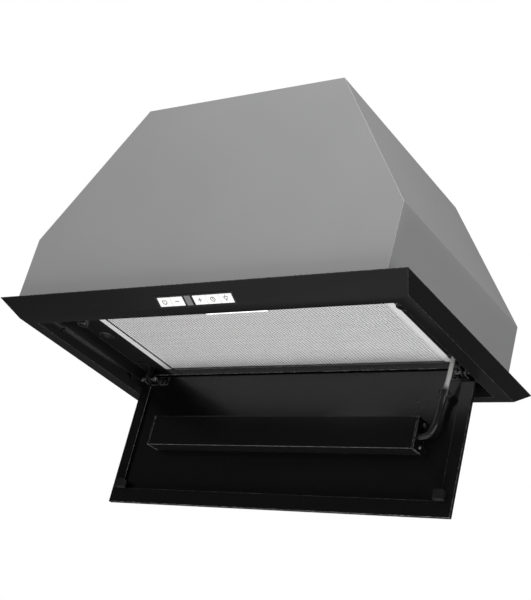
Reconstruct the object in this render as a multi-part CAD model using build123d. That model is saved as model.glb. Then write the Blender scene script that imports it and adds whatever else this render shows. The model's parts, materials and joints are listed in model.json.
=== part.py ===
from build123d import *
import math
import os

# Built-in cooker hood: a black rim that shows under the cupboard, a grey canopy inside the
# cupboard, and a suction flap that hangs open below the grease filter.
# Millimetres. +X right seen from the front, +Y towards the wall, +Z up. The origin is the
# middle of the four cupboard screws, on the top of the rim.

CUT = 5.0  # how far a cutting shape reaches past the faces that it cuts
FAR = 300.0  # well past the hood's sides
FIT = 0.1  # play round a piece that is set into another

# ---------------------------------------------------------------- rim
RIM_WIDTH = 520.0
RIM_DEPTH = 268.0
RIM_HEIGHT = 13.0
RIM_SKIN = 1.5
SIDE_BEVEL = 11.5
FRONT_BEVEL = 27.0
BACK_BEVEL = 13.0
FRONT = -RIM_DEPTH / 2
BACK = RIM_DEPTH / 2
RIM_BASE = -RIM_HEIGHT
LIP_X = 231.4  # half width of the opening at its lower lip
LIP_FRONT = FRONT + 40.0
LIP_BACK = FRONT + 243.0
LIP_RADIUS = 24.4  # the lip curves in towards the chamber wall
LIP_RISE = 14.0
LIP_SKIN = 1.2
MITRE_OUT = 12.0
MITRE_IN = 20.0
BEARING_THICK = 1.2
BEARING_GAP = 0.4  # round the chamber wall
LEDGE = 0.3  # the canopy stands in this step, so that the bearing face round it stays clear
CUPBOARD_X = 248.0
CUPBOARD_Y = 104.0
NUT_BODY = 2.9
NUT_BORE = 2.1
NUT_LENGTH = 5.0
NUT_FLANGE = 3.8
NUT_FLANGE_THICK = 0.8
LIP_SCREW_RADIUS = 1.2
LIP_SCREW_LENGTH = 6.0
LIP_SCREW_HEAD = 2.4
LIP_SCREW_RISE = 1.3
LIP_SCREW_X = 227.1
LIP_SCREW_Y = (-60.0, 60.0)
LIP_SCREW_Z = RIM_BASE + 9.0

# ---------------------------------------------------------------- canopy
CANOPY_X = 236.0
CANOPY_FRONT = FRONT + 4.6
CANOPY_BACK = FRONT + 256.5
CANOPY_SHOULDER = 73.9
CANOPY_TOP = 231.9
CANOPY_TOP_X = 129.6
SHEET = 1.0
SEAM_FLANGE = 12.0
SCREW_HOLE = 1.7
SCREW_RADIUS = 1.5
SCREW_LENGTH = 6.0
REAR_SCREW_HEAD = 3.4
SCREW_RISE = 1.8
REAR_SCREWS = [(229.0, 40.0), (-229.0, 40.0), (172.0, 155.0), (-172.0, 155.0)]

# ---------------------------------------------------------------- suction chamber
CEILING = RIM_BASE + 28.0
CHAMBER_X = 227.0
CHAMBER_FRONT = LIP_FRONT + 4.4
CHAMBER_BACK = LIP_BACK - 4.4
CHAMBER_FOOT = RIM_BASE + LIP_RISE
TRAY_GAP = 0.2
CAP_X = 213.0
CAP_Y = FRONT + 127.0
CAP_BALL = 14.0
CAP_RISE = 3.0
GROMMET = (200.0, 69.0)
GROMMET_NECK = 4.6
GROMMET_LIP = 1.6
GROMMET_FOOT = 1.8
GROMMET_LENGTH = 4.6

# ---------------------------------------------------------------- grease filter
FILTER_X = 193.0
FILTER_FRONT = FRONT + 72.0
FILTER_BACK = FRONT + 232.0
FILTER_FRAME = 9.0
FILTER_SHEET = 1.0
FILTER_BORDER = 8.0
FILTER_GAP = 0.5
MESH_THICK = 3.0
TAB_X = 130.0
TAB_HALF = 10.0
TAB_REACH = 7.0
TAB_THICK = 1.5
LATCH_X = 4.0
LATCH_HALF = 40.0
LATCH_FRONT = FRONT + 77.0
LATCH_BACK = FRONT + 88.0
LATCH_DROP = 0.2
LATCH_THICK = 1.4
GRIP_LONG = 50.0
GRIP_WIDE = 5.0
GRIP_DEEP = 0.6
TONGUE_HALF = 15.0
TONGUE_REACH = 6.5
TONGUE_LONG = 2.5
TONGUE_HIGH = 3.0
TONGUE_THICK = 1.5
TONGUE_INSET = 1.2
NOTCH_DEEP = 11.0

# ---------------------------------------------------------------- flap
HINGE_Y = FRONT + 213.0
HINGE_Z = RIM_BASE + 13.8
FLAP_TILT = 1.5  # degrees past vertical at rest
FLAP_X = 222.5
FLAP_ABOVE = 13.3  # from the hinge axis to the back edge
FLAP_BELOW = 152.5  # from the hinge axis to the front edge
FLAP_FACE = 7.0  # outer face, behind the hinge axis
FLAP_SHEET = 1.0
FLAP_FLOOR = FLAP_FACE - FLAP_SHEET
FLAP_LIP = 2.6  # inner face of the returned edges, behind the hinge axis
SIDE_RETURN = 14.5
FRONT_RETURN = 17.0
BACK_RETURN = 7.0
RETURN_SHEET = 0.8
HINGE_CUTOUT = 9.0  # the returned edge is left out this far round the hinge axis
PIN_RADIUS = 2.0
PIN_CLEARANCE = 0.06
PIN_INNER = 199.5
PIN_OUTER = 219.0
PIN_HEAD = 2.5
PIN_HEAD_RADIUS = 3.3
NUT_START = 0.6
NUT_RADIUS = 3.9
NUT_THICK = 3.5
EAR_THICK = 1.5
FIXED_EAR_X = 208.0
FIXED_EAR_RADIUS = 4.3
FIXED_EAR_BACK = 1.5
FIXED_EAR_FRONT = 9.0
FIXED_FOOT_WIDE = 13.0
FIXED_FOOT_FRONT = 18.0
MOVING_EAR_X = 213.0
MOVING_EAR_RADIUS = 5.0
MOVING_BASE_X = 185.0
MOVING_BASE_THICK = 1.2
MOVING_BASE = (-5.5, 4.5)
MOVING_EAR_FOOT = -5.0
RIVET_X = (190.0, 197.0)
RIVET_DROP = -2.0
RIVET_RADIUS = 2.2
STRIKE_X = 208.5
STRIKE_DROP = -131.0
STRIKE_HEIGHT = 7.0
STRIKE_HALF_X = 5.5
STRIKE_HALF_Y = 5.0
STRIKE_ROUND = 1.0
CATCH_RADIUS = 7.0
CATCH_GAP = 0.4
CATCH_FACE = HINGE_Z - FLAP_LIP + STRIKE_HEIGHT + CATCH_GAP
CATCH_Y = HINGE_Y + STRIKE_DROP
MAGNET_RADIUS = 4.5
MAGNET_THICK = 3.0

# ---------------------------------------------------------------- lamp
LAMP_X = 173.5
LAMP_TOP = -52.0  # below the hinge axis, with the flap hanging
LAMP_BOTTOM = -87.0
LAMP_MIDDLE = (LAMP_TOP + LAMP_BOTTOM) / 2
LAMP_DEPTH = 17.5
LAMP_SHEET = 1.0
LAMP_CAP = 2.0
LAMP_SCREWS = (-57.2, -81.0)
LAMP_SCREW_Y = 1.5
LAMP_SCREW_RADIUS = 1.2
LAMP_SCREW_LENGTH = 8.0
LAMP_SCREW_HEAD = 2.6
LAMP_SCREW_RISE = 1.4
WINDOW_X = 165.0
WINDOW_HALF = 9.0
PANE_FRONT = 4.6
LED_BOARD_Y = (2.0, 3.0)
LED_BOARD_HALF = 7.0
LEDS = 24
LED_MARGIN = 8.0
LED_WIDE = 3.0
LED_THICK = 0.8

# ---------------------------------------------------------------- lamp cable
CABLE_RADIUS = 2.75
SLEEVE_RADIUS = 3.4
CABLE_PLAY = 0.5
CABLE_ROUTE = [
    (214.0, 40.0, 40.0),
    (214.0, 52.0, 40.0),
    (207.5, 63.5, 34.5),
    (200.4, 68.8, 22.0),
    (200.0, 69.2, 6.0),
    (197.6, 72.6, -9.0),
    (194.6, 75.6, -23.0),
]
SLEEVE_ROUTE = [
    (194.6, 75.6, -23.0),
    (192.17, 78.03, -34.34),
    (191.6, 78.3, -48.0),
    (189.8, 77.6, -60.5),
    (184.8, 77.1, -70.5),
    (175.5, 77.1, -70.5),
]
ARC_SHARE = 0.45  # an arc takes this share of the shorter run beside it
CLIP_RADIUS = 4.6
CLIP_LENGTH = 6.5
CLIP_WING = 7.0
CLIP_WING_THICK = 2.4

# ---------------------------------------------------------------- controls on the front slope
CONTROL_X = 7.0
CONTROL_ALONG = 20.2
CONTROL_WIDE = 97.6
CONTROL_DEEP = 13.6
CONTROL_PLAY = 0.4
BEZEL_THICK = 0.5
BEZEL_SIDE = 1.0
BEZEL_FRONT = 0.8
SKIRT = 2.4
BUTTON_WIDE = 16.0
BUTTON_DEEP = 11.4
BUTTON_THICK = 2.2
BUTTON_PROUD = 0.8
BUTTON_GAP = 0.3
BUTTONS = {
    "button_power": -31.6,
    "button_minus": -15.2,
    "button_plus": 14.2,
    "button_timer": 30.6,
    "button_lamp": 47.0,
}
DISPLAY_X = -0.8
DISPLAY_WIDE = 7.6
DISPLAY_PROUD = 0.1
DISPLAY_THICK = 2.0
BOARD_DEEP = 10.0
BOARD_THICK = 1.0
BOARD_ALONG = CONTROL_ALONG + 0.6
BOARD_INSET = 4.0
BOARD_DROP = 0.8

# ---------------------------------------------------------------- outlet
OUTLET_RADIUS = 74.5
OUTLET_HEIGHT = 34.0
OUTLET_WALL = 2.0
FLANGE_REACH = 14.0
FLANGE_THICK = 2.0
FLANGE_SCREWS = 4
FLANGE_SCREW_REACH = 8.0
FLANGE_SCREW_HEAD = 3.2
DAMPER_RISE = 12.0
DAMPER_RADIUS = 71.0
DAMPER_THICK = 1.5
DAMPER_START = 3.2
DAMPER_ARM = 3.4
DAMPER_PIN = 1.5
DAMPER_PLAY = 0.08
KNUCKLE_RADIUS = 2.8
REAR_KNUCKLES = [(-60.0, -40.0), (-15.0, 15.0), (40.0, 60.0)]
FRONT_KNUCKLES = [(-39.0, -16.0), (16.0, 39.0)]

# ---------------------------------------------------------------- blower
SCROLL_Y = -30.0
SCROLL_Z = 110.0
SCROLL_RADIUS = 80.0
SCROLL_HALF = 55.0
SCROLL_WALL = 2.0
SCROLL_INLET = 47.0
DUCT_HALF = 50.0
DUCT_MOUTH = 9.0
WHEEL_RADIUS = 55.0
WHEEL_HALF = 46.0
WHEEL_WEB = 3.0
RING_WIDE = 11.0
RING_THICK = 3.0
BLADES = 28
BLADE_DEEP = 9.5
BLADE_THICK = 1.4
BLADE_PITCH = 35.0  # degrees from the radius
BLADE_INSET = 5.5
HUB_RADIUS = 10.0
HUB_LENGTH = 12.0
SHAFT_RADIUS = 4.0
SHAFT_START = -14.0
SHAFT_LENGTH = 34.0
SHAFT_PLAY = 0.08
MOTOR_START = 3.5
MOTOR_RADIUS = 32.0
MOTOR_LENGTH = 36.0
MOTOR_BORE_DEEP = 20.5
BRACKET_HUB = 14.0
BRACKET_THICK = 2.0
BRACKET_ARMS = 3
BRACKET_ARM_WIDE = 10.0
BRACKET_ARM_LONG = 60.0
BRACKET_SCREW_REACH = 54.0
BRACKET_SCREW_RADIUS = 3.0

# ---------------------------------------------------------------- electrics
ELECTRIC_FLOOR = CEILING + SHEET
BOX_X = (198.0, 231.0)
BOX_Y = (-84.0, 40.0)
BOX_HIGH = 40.0
BOX_WALL = 2.0
POWER_BOARD_RISE = 8.0
POWER_BOARD_THICK = 1.6
POWER_BOARD_SIDE = 3.0
POWER_BOARD_ENDS = (6.0, 8.0)
CAPACITOR_X = -214.0
CAPACITOR_Y = -70.0
CAPACITOR_RADIUS = 15.0
CAPACITOR_LENGTH = 58.0
TERMINAL_X = (-226.0, -204.0)
TERMINAL_Y = (30.0, 72.0)
TERMINAL_HIGH = 16.0
TERMINAL_WAYS = 3
TERMINAL_PITCH = 14.0
TERMINAL_BORE = 2.5
TERMINAL_BORE_DEEP = 6.0
GLAND_X = -105.0
GLAND_Y = 88.0
GLAND_RADIUS = 6.0
GLAND_BORE = 3.6
GLAND_BELOW = 8.0
GLAND_HEAD = 4.0
GLAND_HEAD_HIGH = 6.0
GLAND_NUT = 3.0
GLAND_NUT_HIGH = 4.0


# ================================================================= shapes
def block(x0, x1, y0, y1, z0, z1):
    """A box between two corners."""
    size = (x1 - x0, y1 - y0, z1 - z0)
    return Pos((x0 + x1) / 2, (y0 + y1) / 2, (z0 + z1) / 2) * Box(*size)


def rod(axis, radius, start, length):
    """A cylinder that starts at a point and runs along X, Y or Z."""
    turn = {"X": Rot(0, 90, 0), "Y": Rot(-90, 0, 0), "Z": Rot(0, 0, 0)}[axis]
    align = (Align.CENTER, Align.CENTER, Align.MIN)
    return Pos(*start) * turn * Cylinder(radius, length, align=align)


def prism(plane, points, length):
    """A closed outline drawn on a plane, pushed along the plane's normal."""
    face = make_face(Polyline(*points, close=True))
    return extrude(plane * face, length)


def screw(axis, start, radius, length, head_radius, head):
    """A screw along an axis: its head stands out of the surface at the start."""
    shank = rod(axis, radius, start, length)
    back = {"X": Pos(-head, 0, 0), "Y": Pos(0, -head, 0), "Z": Pos(0, 0, -head)}[axis]
    return shank + back * rod(axis, head_radius, start, head)


def mirrored(shape):
    """The same piece on the other side of the middle."""
    return mirror(shape, Plane.YZ)


def both_sides(shape):
    return [shape, mirrored(shape)]


def hang(shape):
    """From the flap's own frame (origin on the hinge axis) to its resting place."""
    return Pos(0, HINGE_Y, HINGE_Z) * Rot(FLAP_TILT, 0, 0) * shape


def on_slope(along, rise, x=0.0):
    """A place on the rim's sloping front, `along` down the slope and `rise` out of it."""
    slope = math.degrees(math.atan2(RIM_HEIGHT, FRONT_BEVEL))
    return Pos(x, FRONT, 0) * Rot(-slope, 0, 0) * Pos(0, along, -rise)


def write(name, *shapes):
    solids = [s for shape in shapes for s in shape.solids()]
    body = solids[0] if len(solids) == 1 else Compound(children=solids)
    export_step(body, f"parts/{name}.step")


# ================================================================= canopy
def canopy_outline(inset):
    """The canopy seen from the front: an upright skirt, then sides that lean in."""
    lean = math.atan2(CANOPY_X - CANOPY_TOP_X, CANOPY_TOP - CANOPY_SHOULDER)
    x = CANOPY_X - inset
    x_top = CANOPY_TOP_X - inset * (1 - math.sin(lean)) / math.cos(lean)
    shoulder = CANOPY_SHOULDER - inset * math.tan(lean / 2)
    right = [(x, -LEDGE), (x, shoulder), (x_top, CANOPY_TOP - inset)]
    return right + [(-u, v) for u, v in reversed(right)]


def canopy_slice(inset, y0, y1):
    return prism(Plane.XZ.offset(-y0), canopy_outline(inset), -(y1 - y0))


def build_canopy():
    y0, y1 = CANOPY_FRONT + SHEET, CANOPY_BACK - SHEET
    write("front_panel", canopy_slice(0, CANOPY_FRONT, y0))

    rear = canopy_slice(0, y1, CANOPY_BACK)
    for x, z in REAR_SCREWS:
        rear -= rod("Y", SCREW_HOLE, (x, y1 - CUT, z), SHEET + 2 * CUT)
    write("rear_panel", rear)

    wrap = canopy_slice(0, y0, y1) - canopy_slice(SHEET, y0, y1)
    top_inside = CANOPY_TOP - SHEET
    right = wrap & block(0, FAR, y0, y1, -CUT, top_inside)
    right += rear_flange(y1)
    write("right_side_panel", right)
    write("left_side_panel", mirrored(right))

    top = wrap & block(-FAR, FAR, y0, y1, top_inside, CANOPY_TOP)
    outlet = (0, 0, top_inside - CUT)
    gland = (GLAND_X, GLAND_Y, top_inside - CUT)
    top -= rod("Z", OUTLET_RADIUS - OUTLET_WALL, outlet, SHEET + 2 * CUT)
    top -= rod("Z", GLAND_RADIUS + FIT, gland, SHEET + 2 * CUT)
    write("top_plate", top)

    screws = [
        screw("Y", (x, -CANOPY_BACK, z), SCREW_RADIUS, SCREW_LENGTH, REAR_SCREW_HEAD, SCREW_RISE)
        for x, z in REAR_SCREWS
    ]
    write("rear_panel_screws", *[mirror(piece, Plane.XZ) for piece in screws])


def rear_flange(y1):
    """The side panel's folded edge that the rear panel's screws bite into."""
    edge = canopy_slice(SHEET, y1 - SHEET, y1)
    edge -= canopy_slice(SEAM_FLANGE, y1 - SHEET - CUT, y1 + CUT)
    foot = ELECTRIC_FLOOR + 2 * SHEET
    flange = edge & block(0, FAR, y1 - SHEET, y1, foot, CANOPY_TOP - SEAM_FLANGE)
    for x, z in REAR_SCREWS:
        flange -= rod("Y", SCREW_RADIUS, (x, y1 - CUT, z), 2 * CUT)
    return flange


# ================================================================= rim
def frustum(inset, z0, z1):
    """The rim's solid outline, shrunk by a skin thickness, between two heights."""

    def section(z):
        t = -z / RIM_HEIGHT
        x = RIM_WIDTH / 2 - SIDE_BEVEL * t - inset
        y0 = FRONT + FRONT_BEVEL * t + inset
        y1 = BACK - BACK_BEVEL * t - inset
        return Pos(0, (y0 + y1) / 2, z) * Rectangle(2 * x, y1 - y0)

    return loft([section(z0), section(z1)], ruled=True)


def lip_profile(sign, edge):
    """The curved lip in section: `edge` is the chamber wall that it rises to."""
    low = LIP_RADIUS - math.sqrt(LIP_RADIUS**2 - LIP_RISE**2)
    half = math.asin(LIP_RISE / LIP_RADIUS) / 2
    middle = LIP_RADIUS * (1 - math.cos(half))
    middle_z = CHAMBER_FOOT - LIP_RADIUS * math.sin(half)
    inner = ThreePointArc(
        (edge, CHAMBER_FOOT),
        (edge + sign * middle, middle_z),
        (edge + sign * low, RIM_BASE),
    )
    outer = ThreePointArc(
        (edge + sign * (low + LIP_SKIN), RIM_BASE),
        (edge + sign * (middle + LIP_SKIN), middle_z),
        (edge + sign * LIP_SKIN, CHAMBER_FOOT),
    )
    ends = [Line(inner @ 1, outer @ 0), Line(outer @ 1, inner @ 0)]
    return make_face([inner, outer] + ends)


def plan_corners(reach):
    """The chamber's four corners in plan, moved out by `reach`."""
    x, y0, y1 = CHAMBER_X + reach, CHAMBER_FRONT - reach, CHAMBER_BACK + reach
    return [(-x, y0), (x, y0), (x, y1), (-x, y1)]


def corner_wedge(side):
    """The part of the plan that one bar of the lip fills, mitred at its corners."""
    outer, inner = plan_corners(MITRE_OUT), plan_corners(-MITRE_IN)
    a, b = side, (side + 1) % 4
    outline = [outer[a], outer[b], inner[b], inner[a]]
    return prism(Plane.XY.offset(RIM_BASE - CUT), outline, LIP_RISE + 2 * CUT)


def build_rim():
    frame = frustum(0, RIM_BASE, 0) - frustum(RIM_SKIN, RIM_BASE + RIM_SKIN, 0)
    frame -= block(-LIP_X, LIP_X, LIP_FRONT, LIP_BACK, RIM_BASE - CUT, CUT)
    start = Plane.YZ.offset(-FAR), Plane.XZ.offset(-FAR)
    bars = [
        extrude(start[0] * lip_profile(-1, CHAMBER_FRONT), 2 * FAR),
        extrude(start[1] * lip_profile(1, CHAMBER_X), 2 * FAR),
        extrude(start[0] * lip_profile(1, CHAMBER_BACK), 2 * FAR),
        extrude(start[1] * lip_profile(-1, -CHAMBER_X), 2 * FAR),
    ]
    for side, bar in enumerate(bars):
        frame += bar & corner_wedge(side)
    window = Box(CONTROL_WIDE + CONTROL_PLAY, CONTROL_DEEP + CONTROL_PLAY, 4 * RIM_SKIN)
    frame -= on_slope(CONTROL_ALONG, 0, CONTROL_X) * window
    for y in LIP_SCREW_Y:
        hole = rod("X", LIP_SCREW_RADIUS, (CHAMBER_X - CUT, y, LIP_SCREW_Z), 3 * CUT)
        for cut in both_sides(hole):
            frame -= cut
    write("rim_frame", frame)


def build_bearing_plate():
    share = BEARING_THICK / RIM_HEIGHT
    side, front, back = (
        RIM_SKIN + FIT + bevel * share for bevel in (SIDE_BEVEL, FRONT_BEVEL, BACK_BEVEL)
    )
    x = RIM_WIDTH / 2 - side
    plate = block(-x, x, FRONT + front, BACK - back, -BEARING_THICK, 0)
    gap = LIP_SKIN + BEARING_GAP
    inner = CHAMBER_X + gap
    plate -= block(-inner, inner, CHAMBER_FRONT - gap, CHAMBER_BACK + gap, -CUT, CUT)
    foot = CANOPY_X + FIT
    plate -= block(-foot, foot, CANOPY_FRONT - FIT, CANOPY_BACK + FIT, -LEDGE, CUT)
    nuts = []
    flange_z = -BEARING_THICK - NUT_FLANGE_THICK
    for x in (-CUPBOARD_X, CUPBOARD_X):
        for y in (-CUPBOARD_Y, CUPBOARD_Y):
            plate -= rod("Z", NUT_BODY, (x, y, -CUT), 2 * CUT)
            nut = rod("Z", NUT_BODY, (x, y, -NUT_LENGTH), NUT_LENGTH)
            nut += rod("Z", NUT_FLANGE, (x, y, flange_z), NUT_FLANGE_THICK)
            nuts.append(nut - rod("Z", NUT_BORE, (x, y, -2 * CUT), 4 * CUT))
    write("bearing_plate", plate)
    write("cupboard_rivet_nuts", *nuts)


# ================================================================= suction chamber
def build_chamber():
    inset = SHEET + TRAY_GAP
    x, y0, y1 = CANOPY_X - inset, CANOPY_FRONT + inset, CANOPY_BACK - inset
    tray = block(-x, x, y0, y1, CEILING, CEILING + SHEET)
    x, y0, y1, t = CHAMBER_X, CHAMBER_FRONT, CHAMBER_BACK, LIP_SKIN
    wall = block(-x - t, x + t, y0 - t, y1 + t, CHAMBER_FOOT, CEILING)
    tray += wall - block(-x, x, y0, y1, CHAMBER_FOOT - CUT, CEILING + CUT)
    tray -= block(-FILTER_X, FILTER_X, FILTER_FRONT, FILTER_BACK, CEILING - CUT, CEILING + CUT)
    tray -= rod("Z", GROMMET_NECK + FIT, (*GROMMET, CEILING - CUT), 2 * CUT)
    write("chamber_tray", tray)

    cap = Pos(CAP_X, CAP_Y, CEILING + CAP_BALL - CAP_RISE) * Sphere(CAP_BALL)
    cap -= block(0, FAR, -FAR, FAR, CEILING, CEILING + 3 * CAP_BALL)
    write("fixing_caps", *both_sides(cap))
    screws = []
    for y in LIP_SCREW_Y:
        place = (LIP_SCREW_X, y, LIP_SCREW_Z)
        sizes = (LIP_SCREW_RADIUS, LIP_SCREW_LENGTH, LIP_SCREW_HEAD, LIP_SCREW_RISE)
        screws += both_sides(screw("X", place, *sizes))
    write("lip_screws", *screws)


def build_filter():
    x, y0, y1 = FILTER_X - FILTER_GAP, FILTER_FRONT + FILTER_GAP, FILTER_BACK - FILTER_GAP
    z0, z1 = CEILING, CEILING + FILTER_FRAME
    edge, t = FILTER_BORDER, FILTER_SHEET
    frame = block(-x, x, y0, y1, z0, z1)
    frame -= block(-x + edge, x - edge, y0 + edge, y1 - edge, z0 - CUT, z1 + CUT)
    frame -= block(-x + t, x - t, y0 + t, y1 - t, z0 + t, z1 - t)
    tab_z = CEILING + SHEET + FIT
    for middle in (-TAB_X, TAB_X):
        ends = (middle - TAB_HALF, middle + TAB_HALF)
        frame += block(*ends, y1, y1 + TAB_REACH, tab_z, tab_z + TAB_THICK)
    notch = TONGUE_HALF + 1.0
    frame -= block(-notch, notch, y0 - CUT, y0 + NOTCH_DEEP, z0 - CUT, z1 + CUT)
    write("filter_frame", frame)

    mesh = block(-x + t, x - t, y0 + t, y1 - t, z0 + t, z0 + t + MESH_THICK)
    mesh -= block(-notch, notch, y0 - CUT, y0 + NOTCH_DEEP, z0 - CUT, z1 + CUT)
    write("filter_mesh", mesh)


def build_filter_latch():
    top = CEILING - LATCH_DROP
    foot = top - LATCH_THICK
    x0, x1 = LATCH_X - LATCH_HALF, LATCH_X + LATCH_HALF
    latch = block(x0, x1, LATCH_FRONT, LATCH_BACK, foot, top)
    grip = Box(GRIP_LONG, GRIP_WIDE, 2 * GRIP_DEEP)
    latch -= Pos(LATCH_X, (LATCH_FRONT + LATCH_BACK) / 2, foot) * grip
    half = TONGUE_HALF
    near = FILTER_FRONT + FILTER_GAP + TONGUE_INSET
    far = near + TONGUE_LONG
    tip = top + TONGUE_HIGH
    latch += block(-half, half, near, far, foot, tip)
    latch += block(-half, half, near - TONGUE_REACH, far, tip - TONGUE_THICK, tip)
    latch += block(-half, half, near, LATCH_FRONT + 1.0, foot, top)
    write("filter_latch", latch)


# ================================================================= hinges and catches
def build_hinges():
    x, y, z, t = FIXED_EAR_X, HINGE_Y, HINGE_Z, EAR_THICK
    back = y + FIXED_EAR_BACK
    ear = rod("X", FIXED_EAR_RADIUS, (x, y, z), t)
    ear += block(x, x + t, y - FIXED_EAR_FRONT, back, z, CEILING - t)
    ear += block(x, x + FIXED_FOOT_WIDE, y - FIXED_FOOT_FRONT, back, CEILING - t, CEILING)
    ear -= rod("X", PIN_RADIUS, (x - CUT, y, z), t + 2 * CUT)
    write("hinge_brackets", *both_sides(ear))

    pin = rod("X", PIN_RADIUS, (PIN_INNER, y, z), PIN_OUTER - PIN_INNER)
    pin += rod("X", PIN_HEAD_RADIUS, (PIN_OUTER, y, z), PIN_HEAD)
    write("hinge_pins", *both_sides(pin))

    start = PIN_INNER + NUT_START
    hexagon = Plane.YZ.offset(start) * Pos(y, z) * RegularPolygon(NUT_RADIUS, 6)
    nut = extrude(hexagon, NUT_THICK)
    nut -= rod("X", PIN_RADIUS, (start - CUT, y, z), NUT_THICK + 2 * CUT)
    write("hinge_nuts", *both_sides(nut))

    face = (STRIKE_X, CATCH_Y, CATCH_FACE)
    magnet = rod("Z", MAGNET_RADIUS, face, MAGNET_THICK)
    holder = rod("Z", CATCH_RADIUS, face, CEILING - CATCH_FACE) - magnet
    write("catch_holders", *both_sides(holder))
    write("catch_magnets", *both_sides(magnet))


# ================================================================= flap
def build_flap():
    x, top, foot = FLAP_X, FLAP_ABOVE, -FLAP_BELOW
    t, lip, floor = RETURN_SHEET, FLAP_LIP, FLAP_FLOOR
    ear = HINGE_CUTOUT
    pan = block(-x, x, floor, FLAP_FACE, foot, top)
    inside = block(-x + t, x - t, -CUT, FLAP_FACE + CUT, foot + t, top - t)
    hem = block(-x, x, lip, FLAP_FACE, foot, top) - inside
    hinge_gap = block(-FAR, FAR, lip - CUT, floor, -ear, ear)
    hem -= hinge_gap - block(-x + ear, x - ear, -CUT, FLAP_FACE + CUT, -ear - CUT, ear + CUT)
    inner = x - SIDE_RETURN
    returned = block(-x, x, lip, lip + t, foot, top)
    returned -= block(-inner, inner, -CUT, FAR, foot + FRONT_RETURN, top - BACK_RETURN)
    returned -= block(-FAR, FAR, -CUT, FAR, -ear, top - BACK_RETURN)
    pan += hem + returned
    window = (LAMP_MIDDLE - WINDOW_HALF, LAMP_MIDDLE + WINDOW_HALF)
    pan -= block(-WINDOW_X, WINDOW_X, 0, FLAP_FACE + CUT, *window)
    write("flap_panel", hang(pan))


def build_flap_fittings():
    floor, t = FLAP_FLOOR, MOVING_BASE_THICK
    x = MOVING_EAR_X
    low, high = MOVING_BASE
    bracket = block(MOVING_BASE_X, x + EAR_THICK, floor - t, floor, low, high)
    bracket += rod("X", MOVING_EAR_RADIUS, (x, 0, 0), EAR_THICK)
    bracket += block(x, x + EAR_THICK, 0, floor, MOVING_EAR_FOOT, high)
    bracket -= rod("X", PIN_RADIUS + PIN_CLEARANCE, (x - CUT, 0, 0), EAR_THICK + 2 * CUT)
    write("flap_brackets", *[hang(piece) for piece in both_sides(bracket)])

    rivets = []
    face = floor - t
    for x in RIVET_X:
        dome = Pos(x, face, RIVET_DROP) * Sphere(RIVET_RADIUS)
        rivets += both_sides(dome - block(x - CUT, x + CUT, face, face + CUT, -2 * CUT, CUT))
    write("flap_rivets", *[hang(piece) for piece in rivets])

    across = (STRIKE_X - STRIKE_HALF_X, STRIKE_X + STRIKE_HALF_X)
    along = (STRIKE_DROP - STRIKE_HALF_Y, STRIKE_DROP + STRIKE_HALF_Y)
    strike = block(*across, FLAP_LIP - STRIKE_HEIGHT, FLAP_LIP, *along)
    strike = fillet(strike.edges().filter_by(Axis.Y), STRIKE_ROUND)
    write("flap_strikes", *[hang(piece) for piece in both_sides(strike)])


def build_lamp():
    floor, s = FLAP_FLOOR, LAMP_SHEET
    front = floor - LAMP_DEPTH
    channel = block(-LAMP_X, LAMP_X, front, floor, LAMP_BOTTOM, LAMP_TOP)
    channel -= block(-FAR, FAR, front + s, floor + CUT, LAMP_BOTTOM + s, LAMP_TOP - s)
    write("lamp_housing", hang(channel))

    cap = block(LAMP_X, LAMP_X + LAMP_CAP, front, floor, LAMP_BOTTOM, LAMP_TOP)
    screws = []
    for z in LAMP_SCREWS:
        cap -= rod("X", LAMP_SCREW_RADIUS, (LAMP_X - CUT, LAMP_SCREW_Y, z), LAMP_CAP + 2 * CUT)
        left = (-LAMP_X - LAMP_CAP, LAMP_SCREW_Y, z)
        sizes = (LAMP_SCREW_RADIUS, LAMP_SCREW_LENGTH, LAMP_SCREW_HEAD, LAMP_SCREW_RISE)
        screws += both_sides(screw("X", left, *sizes))
    write("lamp_caps", *[hang(piece) for piece in both_sides(cap)])
    write("lamp_cap_screws", *[hang(piece) for piece in screws])

    low, high = LAMP_MIDDLE - LED_BOARD_HALF, LAMP_MIDDLE + LED_BOARD_HALF
    write("led_board", hang(block(-WINDOW_X, WINDOW_X, *LED_BOARD_Y, low, high)))
    first = -WINDOW_X + LED_MARGIN
    step = -2 * first / (LEDS - 1)
    y = LED_BOARD_Y[1] + LED_THICK / 2
    chip = Box(LED_WIDE, LED_THICK, LED_WIDE)
    chips = [hang(Pos(first + i * step, y, LAMP_MIDDLE) * chip) for i in range(LEDS)]
    write("led_chips", *chips)
    window = (LAMP_MIDDLE - WINDOW_HALF, LAMP_MIDDLE + WINDOW_HALF)
    write("lamp_diffuser", hang(block(-WINDOW_X, WINDOW_X, PANE_FRONT, FLAP_FACE, *window)))


# ================================================================= lamp cable
def tube(route, radius, name):
    """A round tube on straight runs joined by tangent arcs, each as large as its runs allow."""
    points = [Vector(*p) for p in route]
    radii = []
    for a, b, c in zip(points, points[1:], points[2:]):
        half = math.radians((b - a).get_angle(c - b)) / 2
        radii.append(ARC_SHARE * min((b - a).length, (c - b).length) / math.tan(half))
    path = FilletPolyline(*points, radius=radii)
    start = Plane(origin=path @ 0, z_dir=path % 0)
    solid = sweep(start * Circle(radius), path=path)
    share = solid.volume / (math.pi * radius**2 * path.length)
    print(name, "arc radii", [round(r, 1) for r in radii])
    print(name, "length", round(path.length, 1), "volume share", round(share, 3))
    return solid


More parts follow.
